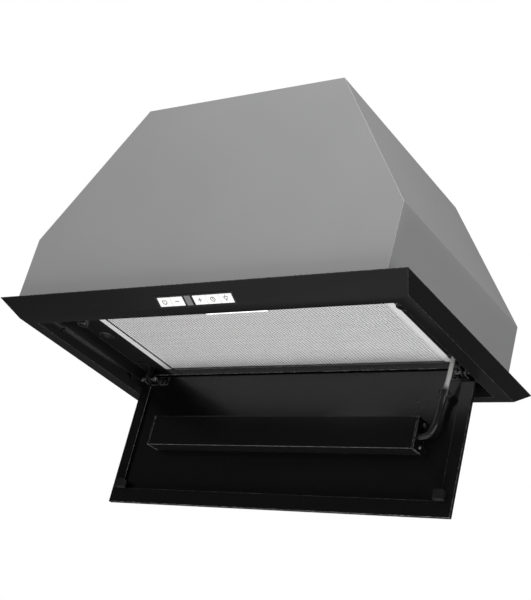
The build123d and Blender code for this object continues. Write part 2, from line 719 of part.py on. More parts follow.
def build_cable():
    write("lamp_cable", tube(CABLE_ROUTE, CABLE_RADIUS, "lamp_cable"))
    write("lamp_cable_sleeve", tube(SLEEVE_ROUTE, SLEEVE_RADIUS, "lamp_cable_sleeve"))

    joint, after = Vector(*SLEEVE_ROUTE[0]), Vector(*SLEEVE_ROUTE[1])
    across = Plane(origin=joint, z_dir=after - joint)
    ring = Cylinder(CLIP_RADIUS, CLIP_LENGTH)
    ring += Box(2 * CLIP_WING, CLIP_WING_THICK, CLIP_LENGTH / 2)
    write("cable_clip", across * (ring - Cylinder(SLEEVE_RADIUS, 3 * CLIP_LENGTH)))

    lip = GROMMET_NECK + GROMMET_LIP
    grommet = rod("Z", lip, (*GROMMET, CEILING - GROMMET_FOOT), GROMMET_LENGTH)
    groove = rod("Z", lip + CUT, (*GROMMET, CEILING), SHEET)
    grommet -= groove - rod("Z", GROMMET_NECK, (*GROMMET, CEILING), SHEET)
    grommet -= rod("Z", CABLE_RADIUS + CABLE_PLAY, (*GROMMET, CEILING - 2 * CUT), 4 * CUT)
    write("cable_grommet", grommet)


# ================================================================= controls
def build_controls():
    outline = (CONTROL_WIDE + 2 * BEZEL_SIDE, CONTROL_DEEP + 2 * BEZEL_FRONT)
    bezel = on_slope(CONTROL_ALONG, BEZEL_THICK / 2, CONTROL_X) * Box(*outline, BEZEL_THICK)
    skirt = Box(CONTROL_WIDE, CONTROL_DEEP, SKIRT)
    bezel += on_slope(CONTROL_ALONG, -SKIRT / 2, CONTROL_X) * skirt
    deep = BUTTON_DEEP + 2 * BUTTON_GAP
    window = Box(BUTTON_WIDE + 2 * BUTTON_GAP, deep, RIM_HEIGHT)
    for x in BUTTONS.values():
        bezel -= on_slope(CONTROL_ALONG, 0, x) * window
    bezel -= on_slope(CONTROL_ALONG, 0, DISPLAY_X) * Box(DISPLAY_WIDE, deep, RIM_HEIGHT)
    write("control_bezel", bezel)

    key = Box(BUTTON_WIDE, BUTTON_DEEP, BUTTON_THICK)
    for name, x in BUTTONS.items():
        write(name, on_slope(CONTROL_ALONG, BUTTON_PROUD - BUTTON_THICK / 2, x) * key)
    rise = BEZEL_THICK + DISPLAY_PROUD - DISPLAY_THICK / 2
    screen = Box(DISPLAY_WIDE, deep, DISPLAY_THICK)
    write("control_display", on_slope(CONTROL_ALONG, rise, DISPLAY_X) * screen)
    board = Box(CONTROL_WIDE - BOARD_INSET, BOARD_DEEP, BOARD_THICK)
    write("control_board", on_slope(BOARD_ALONG, -SKIRT - BOARD_DROP, CONTROL_X) * board)


# ================================================================= outlet
def build_outlet():
    z0 = CANOPY_TOP
    hinge_z = z0 + DAMPER_RISE
    foot = z0 + FLANGE_THICK
    collar = rod("Z", OUTLET_RADIUS, (0, 0, foot), OUTLET_HEIGHT - FLANGE_THICK)
    collar -= rod("Z", OUTLET_RADIUS - OUTLET_WALL, (0, 0, z0 - CUT), OUTLET_HEIGHT + 2 * CUT)
    collar -= rod("X", DAMPER_PIN, (-FAR, 0, hinge_z), 2 * FAR)
    flange = rod("Z", OUTLET_RADIUS + FLANGE_REACH, (0, 0, z0), FLANGE_THICK)
    flange -= rod("Z", OUTLET_RADIUS - OUTLET_WALL, (0, 0, z0 - CUT), 2 * CUT)
    screws = []
    reach = OUTLET_RADIUS + FLANGE_SCREW_REACH
    for turn in range(FLANGE_SCREWS):
        angle = math.radians(360 / FLANGE_SCREWS * (turn + 0.5))
        x, y = reach * math.cos(angle), reach * math.sin(angle)
        flange -= rod("Z", SCREW_RADIUS, (x, y, z0 - CUT), 2 * CUT)
        upside_down = (x, y, -(z0 + FLANGE_THICK))
        tip = screw(
            "Z", upside_down, SCREW_RADIUS, FLANGE_THICK, FLANGE_SCREW_HEAD, SCREW_RISE
        )
        screws.append(mirror(tip, Plane.XY))
    write("outlet_collar", collar, flange)
    write("outlet_screws", *screws)
    write("damper_pin", rod("X", DAMPER_PIN, (-OUTLET_RADIUS, 0, hinge_z), 2 * OUTLET_RADIUS))
    write("damper_rear", damper(1, REAR_KNUCKLES, hinge_z))
    write("damper_front", damper(-1, FRONT_KNUCKLES, hinge_z))


def damper(side, knuckles, hinge_z):
    """Half of the round non-return flap, on its side of the pin, with its knuckles."""
    low, high = hinge_z - DAMPER_THICK / 2, hinge_z + DAMPER_THICK / 2
    half = rod("Z", DAMPER_RADIUS, (0, 0, low), DAMPER_THICK)
    cut = block(-FAR, FAR, -FAR, DAMPER_START, low - CUT, high + CUT)
    half -= cut if side > 0 else mirror(cut, Plane.XZ)
    for a, b in knuckles:
        half += rod("X", KNUCKLE_RADIUS, (a, 0, hinge_z), b - a)
        near, far = sorted((0, side * DAMPER_ARM))
        half += block(a, b, near, far, low, high)
    return half - rod("X", DAMPER_PIN + DAMPER_PLAY, (-FAR, 0, hinge_z), 2 * FAR)


# ================================================================= blower
def scroll_outline(inset):
    """The scroll in side view: a round body with its outlet duct rising through the top."""
    top = CANOPY_TOP - SHEET
    body = Pos(SCROLL_Y, SCROLL_Z) * Circle(SCROLL_RADIUS - inset)
    duct = Rectangle(2 * (DUCT_HALF - inset), top - SCROLL_Z)
    return body + Pos(0, (SCROLL_Z + top) / 2) * duct


def build_blower():
    top = CANOPY_TOP - SHEET
    half, wall = SCROLL_HALF, SCROLL_WALL
    scroll = extrude(Plane.YZ * scroll_outline(0), half)
    scroll -= extrude(Plane.YZ * scroll_outline(wall), half - wall)
    scroll -= rod("X", SCROLL_INLET, (0, SCROLL_Y, SCROLL_Z), 2 * half)
    mouth = DUCT_HALF - wall
    scroll -= block(-1, half - wall, -mouth, mouth, top - DUCT_MOUTH, top + 1)
    write("blower_scroll_right", scroll)
    write("blower_scroll_left", mirrored(scroll))
    write("impeller", impeller())
    write("motor_shaft", on_axis("X", SHAFT_RADIUS, SHAFT_START, SHAFT_LENGTH))

    motor = on_axis("X", MOTOR_RADIUS, MOTOR_START, MOTOR_LENGTH)
    motor -= on_axis("X", SHAFT_RADIUS + SHAFT_PLAY, 0, MOTOR_BORE_DEEP)
    write("motor", motor)

    back = MOTOR_START + MOTOR_LENGTH
    bracket = on_axis("X", BRACKET_HUB, back, half + BRACKET_THICK - back)
    arm = Box(BRACKET_THICK, BRACKET_ARM_WIDE, BRACKET_ARM_LONG)
    screws = []
    for i in range(BRACKET_ARMS):
        turn = Pos(0, SCROLL_Y, SCROLL_Z) * Rot(360 / BRACKET_ARMS * i, 0, 0)
        bracket += turn * Pos(half + BRACKET_THICK / 2, 0, BRACKET_ARM_LONG / 2) * arm
        place = (half + BRACKET_THICK, 0, BRACKET_SCREW_REACH)
        screws.append(turn * rod("X", BRACKET_SCREW_RADIUS, place, SCREW_RISE))
    write("motor_bracket", bracket)
    write("motor_screws", *screws)


def on_axis(axis, radius, start, length):
    """A cylinder on the blower's axis."""
    return rod(axis, radius, (start, SCROLL_Y, SCROLL_Z), length)


def impeller():
    """A double-inlet wheel: a web in the middle, a ring at each end, and blades between."""
    ring = on_axis("X", WHEEL_RADIUS, WHEEL_HALF - RING_THICK, RING_THICK)
    ring -= on_axis("X", WHEEL_RADIUS - RING_WIDE, WHEEL_HALF - CUT, 2 * CUT)
    wheel = on_axis("X", WHEEL_RADIUS, -WHEEL_WEB / 2, WHEEL_WEB) + ring + mirrored(ring)
    blade = Box(2 * WHEEL_HALF - 2, BLADE_DEEP, BLADE_THICK)
    place = Pos(0, WHEEL_RADIUS - BLADE_INSET, 0) * Rot(BLADE_PITCH, 0, 0)
    for i in range(BLADES):
        turn = Pos(0, SCROLL_Y, SCROLL_Z) * Rot(360 / BLADES * i, 0, 0)
        wheel += turn * place * blade
    wheel += on_axis("X", HUB_RADIUS, -HUB_LENGTH, HUB_LENGTH)
    return wheel - on_axis("X", SHAFT_RADIUS, -2 * HUB_LENGTH, 4 * HUB_LENGTH)


# ================================================================= electrics
def build_electrics():
    floor, t = ELECTRIC_FLOOR, BOX_WALL
    x0, x1 = BOX_X
    y0, y1 = BOX_Y
    lid_z = floor + BOX_HIGH
    box = block(x0, x1, y0, y1, floor, lid_z)
    box -= block(x0 + t, x1 - t, y0 + t, y1 - t, floor + t, lid_z + CUT)
    write("control_box", box)
    write("control_box_lid", block(x0, x1, y0, y1, lid_z, lid_z + t))
    side = POWER_BOARD_SIDE
    near, far = POWER_BOARD_ENDS
    board_z = floor + POWER_BOARD_RISE
    board = block(x0 + side, x1 - side, y0 + near, y1 - far, board_z, board_z + POWER_BOARD_THICK)
    write("power_board", board)
    middle = (CAPACITOR_X, CAPACITOR_Y, floor + CAPACITOR_RADIUS)
    write("capacitor", rod("Y", CAPACITOR_RADIUS, middle, CAPACITOR_LENGTH))

    terminal = block(*TERMINAL_X, *TERMINAL_Y, floor, floor + TERMINAL_HIGH)
    x = sum(TERMINAL_X) / 2
    first = sum(TERMINAL_Y) / 2 - TERMINAL_PITCH * (TERMINAL_WAYS - 1) / 2
    bore_z = floor + TERMINAL_HIGH - TERMINAL_BORE_DEEP
    for i in range(TERMINAL_WAYS):
        bore = (x, first + TERMINAL_PITCH * i, bore_z)
        terminal -= rod("Z", TERMINAL_BORE, bore, TERMINAL_HIGH)
    write("terminal_block", terminal)


def build_mains_gland():
    """The mains lead's outlet on the top plate."""
    place = (GLAND_X, GLAND_Y)
    top, below = CANOPY_TOP, CANOPY_TOP - GLAND_BELOW
    nut_z = CANOPY_TOP - SHEET - GLAND_NUT_HIGH
    gland = rod("Z", GLAND_RADIUS, (*place, below), GLAND_BELOW + GLAND_HEAD_HIGH)
    gland += rod("Z", GLAND_RADIUS + GLAND_HEAD, (*place, top), GLAND_HEAD_HIGH)
    gland += rod("Z", GLAND_RADIUS + GLAND_NUT, (*place, nut_z), GLAND_NUT_HIGH)
    gland -= rod("Z", GLAND_BORE, (*place, below - CUT), GLAND_BELOW + GLAND_HEAD_HIGH + 2 * CUT)
    write("mains_gland", gland)


os.makedirs("parts", exist_ok=True)
build_canopy()
build_rim()
build_bearing_plate()
build_chamber()
build_filter()
build_filter_latch()
build_hinges()
build_flap()
build_flap_fittings()
build_lamp()
build_cable()
build_controls()
build_outlet()
build_blower()
build_electrics()
build_mains_gland()
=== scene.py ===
"""Built-in cooker hood with its suction flap hanging open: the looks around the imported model.

Every piece is in metres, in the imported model's own frame: +X right seen from the front, +Y towards
the wall, +Z up, with the origin in the middle of the four cupboard screws.
"""
import json
import logging
import math
from dataclasses import dataclass, field
from enum import Enum
from typing import Iterable, Sequence

import bmesh
import bpy
from mathutils import Matrix, Vector

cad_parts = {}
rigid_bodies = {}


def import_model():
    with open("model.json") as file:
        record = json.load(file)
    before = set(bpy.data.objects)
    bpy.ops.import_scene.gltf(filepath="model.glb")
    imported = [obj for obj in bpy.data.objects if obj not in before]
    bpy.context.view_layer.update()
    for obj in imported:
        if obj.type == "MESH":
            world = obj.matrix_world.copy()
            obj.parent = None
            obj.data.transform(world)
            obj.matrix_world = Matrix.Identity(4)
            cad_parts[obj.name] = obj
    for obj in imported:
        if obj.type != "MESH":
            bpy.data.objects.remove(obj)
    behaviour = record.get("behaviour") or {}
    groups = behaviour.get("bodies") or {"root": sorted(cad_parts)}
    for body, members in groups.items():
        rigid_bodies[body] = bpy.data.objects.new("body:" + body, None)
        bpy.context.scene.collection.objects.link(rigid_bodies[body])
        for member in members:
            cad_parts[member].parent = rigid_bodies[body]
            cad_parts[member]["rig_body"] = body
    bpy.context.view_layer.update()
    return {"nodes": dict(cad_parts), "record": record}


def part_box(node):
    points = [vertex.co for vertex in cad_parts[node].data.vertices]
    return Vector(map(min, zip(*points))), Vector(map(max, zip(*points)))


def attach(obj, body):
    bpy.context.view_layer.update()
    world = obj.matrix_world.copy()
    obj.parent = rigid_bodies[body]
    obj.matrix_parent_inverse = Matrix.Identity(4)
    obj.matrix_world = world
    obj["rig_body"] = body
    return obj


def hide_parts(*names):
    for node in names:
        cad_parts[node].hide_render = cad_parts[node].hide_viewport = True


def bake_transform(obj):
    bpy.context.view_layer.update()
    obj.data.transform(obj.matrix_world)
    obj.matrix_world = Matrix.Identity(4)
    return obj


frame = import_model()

LOG = logging.getLogger("cooker_hood")
FLAP_TILT = math.radians(1.5)
FLAT_JOIN = math.radians(0.2)
SHARP_EDGE = math.radians(28)
Colour = tuple[float, float, float]
Point = tuple[float, float, float]
Stroke = list[tuple[float, float]]
Socket = bpy.types.NodeSocket
Number = float | Socket


# ============================================================================= node trees
class Graph:
    """A node tree being wired: a material, a shader group or a geometry tree."""

    def __init__(self, tree: bpy.types.NodeTree) -> None:
        """Starts with an empty tree.

        Args:
            tree: The tree to clear and wire.
        """
        self.tree = tree
        self.tree.nodes.clear()
        self.entry: bpy.types.Node | None = None

    def add(self, kind: str, **settings: object) -> bpy.types.Node:
        """Adds a node.

        Args:
            kind: Blender's name for the node type.
            settings: Properties to set on it.

        Returns:
            The new node.
        """
        node = self.tree.nodes.new(kind)
        for key, value in settings.items():
            setattr(node, key, value)
        return node

    def feed(self, socket: Socket, value: object) -> None:
        """Links a socket to another one, or sets its own value.

        Args:
            socket: The input to feed.
            value: The socket or the plain value that feeds it.
        """
        if isinstance(value, bpy.types.NodeSocket):
            self.tree.links.new(value, socket)
        else:
            socket.default_value = value

    def fill(self, node: bpy.types.Node, **values: object) -> bpy.types.Node:
        """Feeds a node's inputs by name, with an underscore for each space.

        Args:
            node: The node to feed.
            values: Sockets or plain values, by the inputs' names.

        Returns:
            The same node.
        """
        for key, value in values.items():
            self.feed(node.inputs[key.replace("_", " ")], value)
        return node

    def node(self, kind: str, **inputs: object) -> bpy.types.Node:
        """Adds a node that needs no properties, and feeds its inputs by name."""
        return self.fill(self.add(kind), **inputs)

    def maths(self, operation: str, a: Number, b: Number = 0.0, clamp: bool = False) -> Socket:
        """One step of arithmetic on numbers or sockets.

        Args:
            operation: Blender's name for the operation.
            a: The first number or socket.
            b: The second number or socket.
            clamp: Keeps the answer between 0 and 1 where true.

        Returns:
            The answer's socket.
        """
        node = self.add("ShaderNodeMath", operation=operation, use_clamp=clamp)
        self.feed(node.inputs[0], a)
        self.feed(node.inputs[1], b)
        return node.outputs[0]

    def times(self, a: Number, b: Number, clamp: bool = False) -> Socket:
        """The product of two numbers or sockets."""
        return self.maths("MULTIPLY", a, b, clamp)

    def plus(self, a: Number, b: Number, clamp: bool = False) -> Socket:
        """The sum of two numbers or sockets."""
        return self.maths("ADD", a, b, clamp)

    def minus(self, a: Number, b: Number) -> Socket:
        """What is left of the first number or socket without the second."""
        return self.maths("SUBTRACT", a, b)

    def vector(self, **parts: Number) -> Socket:
        """A vector from its X, Y and Z, where a part that isn't given is 0."""
        return self.node("ShaderNodeCombineXYZ", **parts).outputs[0]

    def remap(self, value: Socket, low: float, high: float, to: tuple[float, float]) -> Socket:
        """Stretches a value's range.

        Args:
            value: The value's socket.
            low: What becomes the first number in `to`.
            high: What becomes the second.
            to: The new range.

        Returns:
            The stretched value's socket.
        """
        node = self.add("ShaderNodeMapRange")
        for socket, number in zip(node.inputs[:5], (value, low, high, *to)):
            self.feed(socket, number)
        return node.outputs[0]

    def interface(
        self, inputs: Iterable[tuple[str, str, object]], outputs: Iterable[tuple[str, str]]
    ) -> None:
        """Gives the tree its named inputs and outputs.

        Args:
            inputs: Each input's name, kind and default, where None leaves the default alone.
            outputs: Each output's name and kind.
        """
        for name, kind, default in inputs:
            socket = self.tree.interface.new_socket(
                name=name, in_out="INPUT", socket_type=f"NodeSocket{kind}"
            )
            if default is not None:
                socket.default_value = default
        for name, kind in outputs:
            self.tree.interface.new_socket(
                name=name, in_out="OUTPUT", socket_type=f"NodeSocket{kind}"
            )
        self.entry = self.add("NodeGroupInput")

    def given(self, name: str) -> Socket:
        """The tree's own input of that name."""
        return self.entry.outputs[name]

    def give(self, **values: Socket) -> None:
        """Feeds the tree's outputs by name."""
        self.node("NodeGroupOutput", **values)


def object_place(graph: Graph) -> Socket:
    """The surface point in the object's own coordinates."""
    return graph.add("ShaderNodeTexCoord").outputs["Object"]


def noise(graph: Graph, place: Socket, scale: Number, detail: float = 2.0) -> Socket:
    """Noise from 0 to 1.

    Args:
        graph: The tree to wire.
        place: The coordinates to read.
        scale: How many features a metre holds.
        detail: How many finer layers it has.

    Returns:
        The noise's socket.
    """
    node = graph.node("ShaderNodeTexNoise", Vector=place, Scale=scale, Detail=detail)
    return node.outputs["Fac"]


def stretched(graph: Graph, place: Socket, stretch: Point) -> Socket:
    """Coordinates drawn out along an axis, for grain that runs one way."""
    return graph.node("ShaderNodeMapping", Vector=place, Scale=stretch).outputs[0]


def shader_group(name: str) -> bpy.types.NodeTree:
    """A new shader node group."""
    return bpy.data.node_groups.new(name, "ShaderNodeTree")


def paint_skin_group() -> bpy.types.NodeTree:
    """The orange peel and fine grain of a sprayed coat, with a faint cloudiness.

    Returns:
        The group's tree.
    """
    graph = Graph(shader_group("paint_skin"))
    graph.interface(
        [("Peel", "Float", 420.0), ("Grain", "Float", 2600.0), ("Grain share", "Float", 0.4)],
        [("Height", "Float"), ("Cloud", "Float")],
    )
    place = object_place(graph)
    peel = noise(graph, place, graph.given("Peel"), 1.0)
    grain = noise(graph, place, graph.given("Grain"), 2.0)
    share = graph.given("Grain share")
    rest = graph.minus(1.0, share)
    height = graph.plus(graph.times(peel, rest), graph.times(grain, share))
    cloud = noise(graph, place, 9.0, 3.0)
    graph.give(Height=height, Cloud=cloud)
    return graph.tree


def handling_group() -> bpy.types.NodeTree:
    """Wiped patches and finger smears: 0 where the surface is clean, 1 where it is smeared.

    Returns:
        The group's tree.
    """
    graph = Graph(shader_group("handling_marks"))
    graph.interface([("Amount", "Float", 0.5), ("Patch", "Float", 22.0)], [("Mask", "Float")])
    place = object_place(graph)
    patch = graph.remap(noise(graph, place, graph.given("Patch"), 3.0), 0.48, 0.72, (0.0, 1.0))
    wipe = noise(graph, stretched(graph, place, (14.0, 90.0, 60.0)), 1.0, 4.0)
    streak = graph.remap(wipe, 0.35, 0.75, (0.2, 1.0))
    mask = graph.times(patch, streak)
    graph.give(Mask=graph.times(mask, graph.given("Amount"), clamp=True))
    return graph.tree


def edge_wear_and_highlight_group() -> bpy.types.NodeTree:
    """Edges that take wear, and on black paint a painted highlight: found from a bevelled normal, broken by
    noise.

    Returns:
        The group's tree.
    """
    graph = Graph(shader_group("edge_wear"))
    graph.interface([("Width", "Float", 0.0008), ("Break up", "Float", 300.0)], [("Mask", "Float")])
    rounded = graph.add("ShaderNodeBevel", samples=4)
    graph.feed(rounded.inputs["Radius"], graph.given("Width"))
    true_normal = graph.add("ShaderNodeNewGeometry").outputs["Normal"]
    dot = graph.add("ShaderNodeVectorMath", operation="DOT_PRODUCT")
    graph.feed(dot.inputs[0], rounded.outputs[0])
    graph.feed(dot.inputs[1], true_normal)
    edge = graph.remap(dot.outputs["Value"], 0.995, 0.86, (0.0, 1.0))
    broken = noise(graph, object_place(graph), graph.given("Break up"), 4.0)
    wear_and_highlight_share = graph.remap(broken, 0.42, 0.62, (0.15, 1.0))
    graph.give(Mask=graph.times(edge, wear_and_highlight_share, clamp=True))
    return graph.tree


def dust_group() -> bpy.types.NodeTree:
    """Dust that settles on faces that look up.

    Returns:
        The group's tree.
    """
    graph = Graph(shader_group("settled_dust"))
    graph.interface([("Amount", "Float", 0.3), ("Speck", "Float", 900.0)], [("Mask", "Float")])
    normal = graph.add("ShaderNodeNewGeometry").outputs["Normal"]
    parts = graph.add("ShaderNodeSeparateXYZ")
    graph.feed(parts.inputs[0], normal)
    upward = graph.remap(parts.outputs["Z"], 0.5, 0.98, (0.0, 1.0))
    place = object_place(graph)
    drift = graph.remap(noise(graph, place, 26.0, 4.0), 0.3, 0.75, (0.25, 1.0))
    speck = graph.remap(noise(graph, place, graph.given("Speck"), 2.0), 0.35, 0.65, (0.4, 1.0))
    film = graph.times(graph.times(upward, drift), speck)
    graph.give(Mask=graph.times(film, graph.given("Amount"), clamp=True))
    return graph.tree


def directional_grain_group() -> bpy.types.NodeTree:
    """Rolling or brushing lines that run along X.

    Returns:
        The group's tree.
    """
    graph = Graph(shader_group("rolled_grain"))
    graph.interface([("Lines", "Float", 1.0)], [("Height", "Float"), ("Tone", "Float")])
    place = object_place(graph)
    lines = graph.given("Lines")
    fine = noise(graph, stretched(graph, place, (30.0, 3200.0, 3200.0)), lines, 3.0)
    broad = noise(graph, stretched(graph, place, (6.0, 240.0, 240.0)), lines, 3.0)
    height = graph.plus(graph.times(fine, 0.7), graph.times(broad, 0.3))
    graph.give(Height=height, Tone=broad)
    return graph.tree


class Effect(Enum):
    """The surface effects that the finishes share."""

    PAINT_SKIN = "paint_skin"
    HANDLING = "handling_marks"
    EDGE_WEAR = "edge_wear"
    DUST = "settled_dust"
    ROLLED_GRAIN = "rolled_grain"


EFFECT_TREES = {
    Effect.PAINT_SKIN: paint_skin_group(),
    Effect.HANDLING: handling_group(),
    Effect.EDGE_WEAR: edge_wear_and_highlight_group(),
    Effect.DUST: dust_group(),
    Effect.ROLLED_GRAIN: directional_grain_group(),
}


# ============================================================================= finishes
class Surface(Graph):
    """A material's tree, with its Principled shader and the effects placed in it."""

    def __init__(self, name: str) -> None:
        """Makes the material with its shader and output.

        Args:
            name: The material's name.
        """
        self.material = bpy.data.materials.new(name)
        self.material.use_nodes = True
        super().__init__(self.material.node_tree)
        self.shader = self.add("ShaderNodeBsdfPrincipled")
        output = self.add("ShaderNodeOutputMaterial")
        self.tree.links.new(self.shader.outputs[0], output.inputs["Surface"])

    def effect(self, kind: Effect, **values: float) -> bpy.types.Node:
        """Places one of the shared effects, with its own values."""
        node = self.add("ShaderNodeGroup", node_tree=EFFECT_TREES[kind])
        return self.fill(node, **values)

    def dress(self, **values: object) -> None:
        """Feeds the shader's own inputs by name."""
        self.fill(self.shader, **values)

    def drift(self, value: Socket, dark: Colour, light: Colour) -> Socket:
        """A colour that drifts from dark to light as noise rises from 0.3 to 0.7."""
        return self.blend(self.remap(value, 0.3, 0.7, (0.0, 1.0)), dark, light)

    def blend(self, amount: Socket, base: object, other: object) -> Socket:
        """Mixes two colours by a mask.

        Args:
            amount: The mask, from 0 for the base to 1 for the other.
            base: A colour or a colour socket.
            other: A colour or a colour socket.

        Returns:
            The mixed colour's socket.
        """
        node = self.add("ShaderNodeMix", data_type="RGBA")
        self.feed(node.inputs[0], amount)
        for socket, colour in ((node.inputs[6], base), (node.inputs[7], other)):
            self.feed(socket, (*colour, 1.0) if isinstance(colour, tuple) else colour)
        return node.outputs[2]

    def bump(self, height: Socket, distance: float) -> None:
        """Raises the surface by a height.

        Args:
            height: The height's socket, from 0 to 1.
            distance: How far a height of 1 stands out, in metres.
        """
        node = self.node("ShaderNodeBump", Height=height, Distance=distance, Strength=1.0)
        self.dress(Normal=node.outputs[0])


MATERIALS: dict[str, bpy.types.Material] = {}


def shade(colour: Colour, factor: float) -> Colour:
    """A lighter or darker version of a colour."""
    return tuple(min(1.0, part * factor) for part in colour)


@dataclass(frozen=True)
class Finish:
    """What every finish has: a name, a colour and a roughness."""

    name: str
    colour: Colour
    roughness: float

    def material(self) -> bpy.types.Material:
        """The finish's material, built on its first use.

        Returns:
            The material.
        """
        if self.name not in MATERIALS:
            surface = Surface(f"{self.name}_finish")
            surface.material.diffuse_color = (*self.colour, 1.0)
            self.coat(surface)
            MATERIALS[self.name] = surface.material
        return MATERIALS[self.name]

    def coat(self, surface: Surface) -> None:
        """Wires this finish into a new material.

        Args:
            surface: The new material's surface.
        """
        raise NotImplementedError


@dataclass(frozen=True)
class Paint(Finish):
    """A sprayed and baked coat on sheet metal."""

    peel: float = 420.0
    peel_depth: float = 6e-6
    cloud: float = 0.08
    smear: float = 0.35
    dust: float = 0.25
    wear: float = 0.25
    edge_wear_and_highlight_colour: Colour = (0.42, 0.42, 0.42)
    clear_coat: float = 0.0
    coat_rough: float = 0.12

    def coat(self, surface: Surface) -> None:
        """Cloudy colour, edges lightened for wear and as a painted highlight, dust on top and smears that
        dull the gloss.

        Args:
            surface: The new material's surface.
        """
        skin = surface.effect(Effect.PAINT_SKIN, Peel=self.peel)
        smears = surface.effect(Effect.HANDLING, Amount=self.smear).outputs["Mask"]
        edge_wear_and_highlight_mask = surface.effect(Effect.EDGE_WEAR).outputs["Mask"]
        dusty = surface.effect(Effect.DUST, Amount=self.dust).outputs["Mask"]
        light, dark = shade(self.colour, 1 + self.cloud), shade(self.colour, 1 - self.cloud)
        colour = surface.drift(skin.outputs["Cloud"], dark, light)
        # Edges take the edge colour: wear on the grey canopy, and on the black paints partly wear, partly a
        # painted highlight along the folds.
        wear_and_highlight_share = surface.times(edge_wear_and_highlight_mask, self.wear)
        colour = surface.blend(wear_and_highlight_share, colour, self.edge_wear_and_highlight_colour)
        colour = surface.blend(dusty, colour, (0.45, 0.43, 0.4))
        surface.dress(Base_Color=colour)
        dulled = surface.times(smears, 0.14)
        rough = surface.plus(surface.times(dusty, 0.3), dulled)
        rough = surface.plus(rough, self.roughness, clamp=True)
        surface.dress(Roughness=rough)
        if self.clear_coat:
            surface.dress(Coat_Weight=self.clear_coat, Coat_Roughness=self.coat_rough)
        surface.bump(skin.outputs["Height"], self.peel_depth)


@dataclass(frozen=True)
class BareMetal(Finish):
    """Rolled, brushed or plated metal."""

    grain_depth: float = 4e-6
    tone: float = 0.12
    smear: float = 0.4
    spangle: float = 0.0
    dust: float = 0.0
    metallic: float = 1.0

    def coat(self, surface: Surface) -> None:
        """Metal with grain along X and, where it is galvanised, a crystal spangle.

        Args:
            surface: The new material's surface.
        """
        grain = surface.effect(Effect.ROLLED_GRAIN)
        smears = surface.effect(Effect.HANDLING, Amount=self.smear, Patch=40.0).outputs["Mask"]
        light, dark = shade(self.colour, 1 + self.tone), shade(self.colour, 1 - self.tone)
        colour = surface.drift(grain.outputs["Tone"], dark, light)
        rough: Number = self.roughness
        if self.spangle:
            cells = surface.node("ShaderNodeTexVoronoi", Vector=object_place(surface), Scale=self.spangle)
            crystal = surface.add("ShaderNodeSeparateColor")
            surface.feed(crystal.inputs[0], cells.outputs["Color"])
            facet = surface.times(crystal.outputs[0], 0.5)
            colour = surface.blend(facet, colour, shade(self.colour, 0.72))
            rough = surface.remap(crystal.outputs[1], 0.0, 1.0, (rough - 0.08, rough + 0.12))
        if self.dust:
            dusty = surface.effect(Effect.DUST, Amount=self.dust).outputs["Mask"]
            colour = surface.blend(dusty, colour, (0.4, 0.38, 0.35))
        surface.dress(Base_Color=colour)
        rough = surface.plus(surface.times(smears, 0.12), rough, clamp=True)
        surface.dress(Roughness=rough)
        surface.dress(Metallic=self.metallic)
        surface.bump(grain.outputs["Height"], self.grain_depth)


@dataclass(frozen=True)
class Moulded(Finish):
    """An injection-moulded plastic or rubber with a spark-eroded texture."""

    grain: float = 1500.0
    grain_depth: float = 8e-6
    smear: float = 0.4
    tone: float = 0.06

    def coat(self, surface: Surface) -> None:
        """Fine moulded texture, a slight tone and smears on the gloss.

        Args:
            surface: The new material's surface.
        """
        skin = surface.effect(
            Effect.PAINT_SKIN, Peel=self.grain * 0.4, Grain=self.grain, Grain_share=0.75
        )
        smears = surface.effect(Effect.HANDLING, Amount=self.smear, Patch=70.0).outputs["Mask"]
        edge_wear_and_highlight_mask = surface.effect(Effect.EDGE_WEAR, Width=0.0004).outputs["Mask"]
        dark, light = shade(self.colour, 1 - self.tone), shade(self.colour, 1 + self.tone)
        colour = surface.drift(skin.outputs["Cloud"], dark, light)
        polished = surface.times(edge_wear_and_highlight_mask, 0.2)
        colour = surface.blend(polished, colour, shade(self.colour, 1.7))
        surface.dress(Base_Color=colour)
        dulled = surface.times(smears, 0.16)
        surface.dress(Roughness=surface.plus(dulled, self.roughness, clamp=True))
        surface.bump(skin.outputs["Height"], self.grain_depth)


@dataclass(frozen=True)
class CableJacket(Finish):
    """A PVC jacket, whose marks follow the cable's own length and turn."""

    route_map: str = "route"
    scuff: Colour = (0.5, 0.5, 0.5)

    def coat(self, surface: Surface) -> None:
        """Fine scuffs along the jacket and a faint mottled skin.

        Args:
            surface: The new material's surface.
        """
        route = surface.add("ShaderNodeUVMap", uv_map=self.route_map).outputs[0]
        mottle = noise(surface, stretched(surface, route, (500.0, 5.0, 1.0)), 1.0, 3.0)
        scuffs = noise(surface, stretched(surface, route, (60.0, 30.0, 1.0)), 1.0, 4.0)
        mask = surface.remap(scuffs, 0.58, 0.72, (0.0, 0.35))
        colour = surface.drift(mottle, shade(self.colour, 0.92), shade(self.colour, 1.06))
        surface.dress(Base_Color=surface.blend(mask, colour, self.scuff))
        surface.dress(Roughness=surface.plus(mask, self.roughness, clamp=True))
        surface.bump(mottle, 1e-5)


@dataclass(frozen=True)
class FrostedPane(Finish):
    """A lamp's frosted window: light passes, but nothing behind it is sharp."""

    def coat(self, surface: Surface) -> None:
        """A cloudy white pane with a fine frosted skin.

        Args:
            surface: The new material's surface.
        """
        skin = surface.effect(Effect.PAINT_SKIN, Peel=900.0, Grain=4000.0)
        colour = surface.drift(skin.outputs["Cloud"], shade(self.colour, 0.95), self.colour)
        surface.dress(Base_Color=colour)
        frost = (self.roughness - 0.08, self.roughness + 0.1)
        surface.dress(Roughness=surface.remap(skin.outputs["Height"], 0.2, 0.8, frost))
        surface.dress(Subsurface_Weight=0.3, Subsurface_Scale=0.003)
        surface.bump(skin.outputs["Height"], 1e-5)


